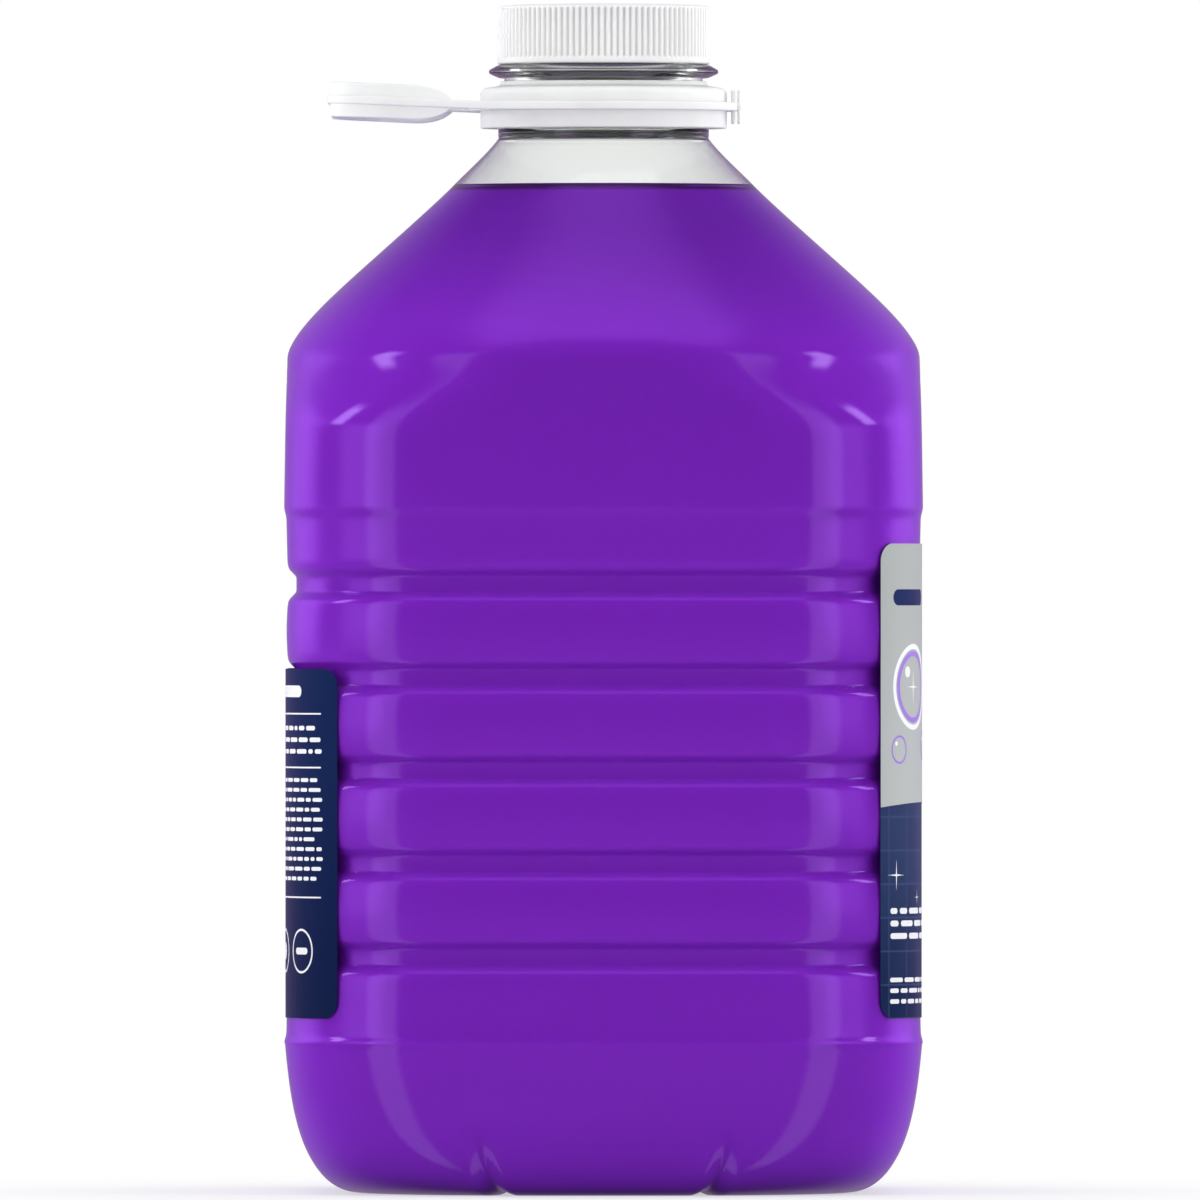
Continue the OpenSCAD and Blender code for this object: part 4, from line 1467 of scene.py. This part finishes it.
    def build(self) -> None:
        """Sets up the whole studio."""
        self.camera()
        self.world()
        self.floor()
        self.lamps()
        bpy.context.scene.view_settings.view_transform = "Standard"


def to_mm(corners: Sequence[Vector]) -> np.ndarray:
    """A box's lowest and highest corner in millimetres."""
    return np.array([tuple(corner) for corner in corners]) / MM


@dataclass(frozen=True)
class Ink:
    """A print colour: its name, and its shades at the foot and the head of a label."""

    name: str
    low: str
    high: str

    def lay(self, piece: str, patches: Sequence[Patch]) -> None:
        """Makes one piece of ink on the bottle out of patches."""
        made = make_piece(piece, patches, 50)
        material = PrintedFilm(self.name, self.low, self.high, span_mm=(40, 146)).material()
        finish_piece(made, "bottle", material)


WHITE_INK = Ink("ink_white", "#d9dbdf", "#e2e4e6")
LILAC_INK = Ink("ink_lilac", "#8a62c8", "#9a76d2")
NAVY_INK = Ink("ink_navy", "#131f4a", "#1a2858")


def front_print(label: FilmLabel, field_lift: float) -> None:
    """Prints a plain household design: a title bar over bubbles, then bars and round marks on the navy.

    Args:
        label: The front label.
        field_lift: Height of the pale field's face above the film's back.
    """
    top, film = field_lift, label.film
    bubbles = ((0, 67, 9.5), (-16, 62, 6.2), (15.5, 71, 5.2), (19, 59, 6.6), (-12, 76, 3.8), (-27, 69, 3.4),
               (30, 70, 3.0), (-26, 57, 2.3), (8, 56, 2.2), (-39, 61, 3.4), (41, 60, 3.6), (49, 74, 8.0),
               (-49, 74, 8.0), (56, 60, 3.2), (-56, 60, 3.2))
    rings = [label.hoop(round_outline(r, 48), 0.86, u, v, top) for u, v, r in bubbles]
    shines = [label.stamp(round_outline(0.16 * r, 16), u - 0.4 * r, v + 0.42 * r, top) for u, v, r in bubbles]
    LILAC_INK.lay("front_print_lilac", rings + [
        label.bar(46, 3.2, 0, 84.5, top),
        label.bar(40, 2.6, 0, 22.5, film),
    ])
    NAVY_INK.lay("front_print_navy", [label.bar(72, 7.5, 0, 94, top)] + [
        label.bar(17, 3.6, u, 94, top) for u in (-50, 50)
    ])
    sparks = [(-57.2, 32, 3.4, film), (-46, 27, 1.8, film), (56, 33, 3.0, film), (-33, 79, 4.6, top),
              (34, 80, 3.8, top), (-49, 74, 3.8, top), (49, 74, 3.8, top), (0, 67, 4.2, top)]
    marks = [label.hoop(round_outline(5.2, 48), 0.9, u, 11.5, film) for u in (-15, 0, 15)]
    marks += [
        label.stamp(spark_outline(3.4), -15, 11.5, film), label.stamp(round_outline(2.2), 0, 11.5, film),
        label.bar(6, 1.6, 15, 11.5, film),
    ]
    white = shines + [label.stamp(spark_outline(r), u, v, base) for u, v, r, base in sparks] + marks
    white += [label.hoop(round_outline(9.6, 64), 0.88, u, 74, top) for u in (-49, 49)]
    white.append(label.bar(54, 5.0, 0, 31, film))
    for left, right, seed in ((-60, -30, 3), (30, 60, 4)):
        white += label.lines(left, right, (24, 21.2, 18.4), 1.3, film, seed)
        white += label.lines(left, right, (8.6, 6.2, 3.8), 1.0, film, seed + 10)
    WHITE_INK.lay("front_print_white", white)


def back_print(label: FilmLabel) -> None:
    """Prints rows of small bars between thin rules, with a title bar and a row of round marks."""
    film = label.film
    rules = [label.bar(122, 0.35, 0, v, film) for v in (68, 56, 27)]
    white = rules + [label.bar(60, 4.4, -28, 73, film), label.bar(18, 2.6, 44, 73, film)]
    white += label.lines(-60, 62, (64.8, 62.2, 59.6), 1.0, film, 21)
    white += label.lines(-60, 62, np.arange(53.2, 29, -2.2), 0.85, film, 22)
    white += label.lines(-60, 16, np.arange(23.4, 4, -2.4), 0.9, film, 23)
    white += [label.hoop(round_outline(5.0, 48), 0.9, u, 15, film) for u in (27, 40, 53)]
    white += [label.stamp(spark_outline(3.2), 27, 15, film), label.stamp(round_outline(2.0), 40, 15, film),
              label.bar(5.6, 1.5, 53, 15, film)]
    WHITE_INK.lay("back_print_white", white)


def field_edge(u: np.ndarray) -> np.ndarray:
    """Height of the pale field's lower edge above the label's, a wave one bottle's width long."""
    return 45 + 3.2 * np.sin(TURN * (u / 143 + 0.5) + math.radians(20))


def front_label_pieces(label: FilmLabel, field_lift: float) -> None:
    """Builds the front label's film, its pale upper field and its ink.

    Args:
        label: The label.
        field_lift: Height of the field's face above the film's back.
    """
    navy = PrintedFilm("front_film_navy", "#0d1f46", "#25335a", span_mm=(42, 84), tile_mm=7.5).material()
    made = label.sheet("front_film", 0.0, label.film, lambda u: 0 * u)
    finish_piece(made, "bottle", navy, ["front_label"])
    grey = PrintedFilm("front_film_grey", "#a9adad", "#a2a6a6", span_mm=(84, 146)).material()
    made = label.sheet("front_film_field", label.film, field_lift, field_edge)
    finish_piece(made, "bottle", grey, ["front_label_field"])
    front_print(label, field_lift)


def main() -> None:
    """Builds the bottle, its contents, closure, handle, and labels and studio."""
    logging.basicConfig(level=logging.INFO, format="%(message)s")
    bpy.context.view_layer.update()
    low, high = to_mm(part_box("bottle"))
    bottle = BlownBottle(width=high[0] - low[0], depth=high[1] - low[1], top=high[2])
    bottle.dress(BlownPet().material())
    level = to_mm(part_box("cleaner_liquid"))[1][2]
    LiquidFill(bottle, level).dress(DyedCleaner(level_mm=level).material())

    low, high = to_mm(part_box("screw_cap"))
    radius = (high[0] - low[0]) / 2
    # The cap's white has painted shade in the grooves between its ribs.
    cap_white = MouldedPlastic(
        "moulded_polypropylene", "#f1f1f1", "#ebebeb", roughness=0.36, grain_mm=0.35, grain_depth_mm=0.006,
        painted_groove_shade_mm=(radius - 1.1, radius - 0.1), below_mm=high[2] - 0.8,
    ).material()
    RibbedCap(low[2], high[2], radius, bottle).dress(cap_white)
    low, high = to_mm(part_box("cap_liner"))
    foam = MouldedPlastic(
        "foamed_polyethylene", "#eeeeea", "#e2e2dd", roughness=0.75, grain_mm=0.5, grain_depth_mm=0.05
    ).material()
    FoamDisc(low[2], high[2], (high[0] - low[0]) / 2).dress(foam)

    low, high = to_mm(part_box("carry_handle"))
    handle_white = MouldedPlastic(
        "moulded_polyethylene", "#ebecec", "#e6e7e7", roughness=0.42, grain_mm=0.5, grain_depth_mm=0.008
    ).material()
    RingHandle(seat=low[2], reach=-low[0], rim=high[1]).dress(handle_white)

    low, high = to_mm(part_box("front_label"))
    front = FilmLabel(Side.FRONT, low[2], high[2] - low[2], wrap_deg=43.5, bottle=bottle)
    front_label_pieces(front, field_lift=0.23)
    low, high = to_mm(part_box("back_label"))
    back = FilmLabel(Side.BACK, low[2], high[2] - low[2], wrap_deg=49.0, bottle=bottle)
    made = back.sheet("back_film", 0.0, back.film, lambda u: 0 * u)
    back_navy = PrintedFilm("back_film_navy", "#061842", "#0a1f4e", span_mm=(42, 110)).material()
    finish_piece(made, "bottle", back_navy, ["back_label"])
    back_print(back)

    Studio().build()


if __name__ == "__main__":
    main()
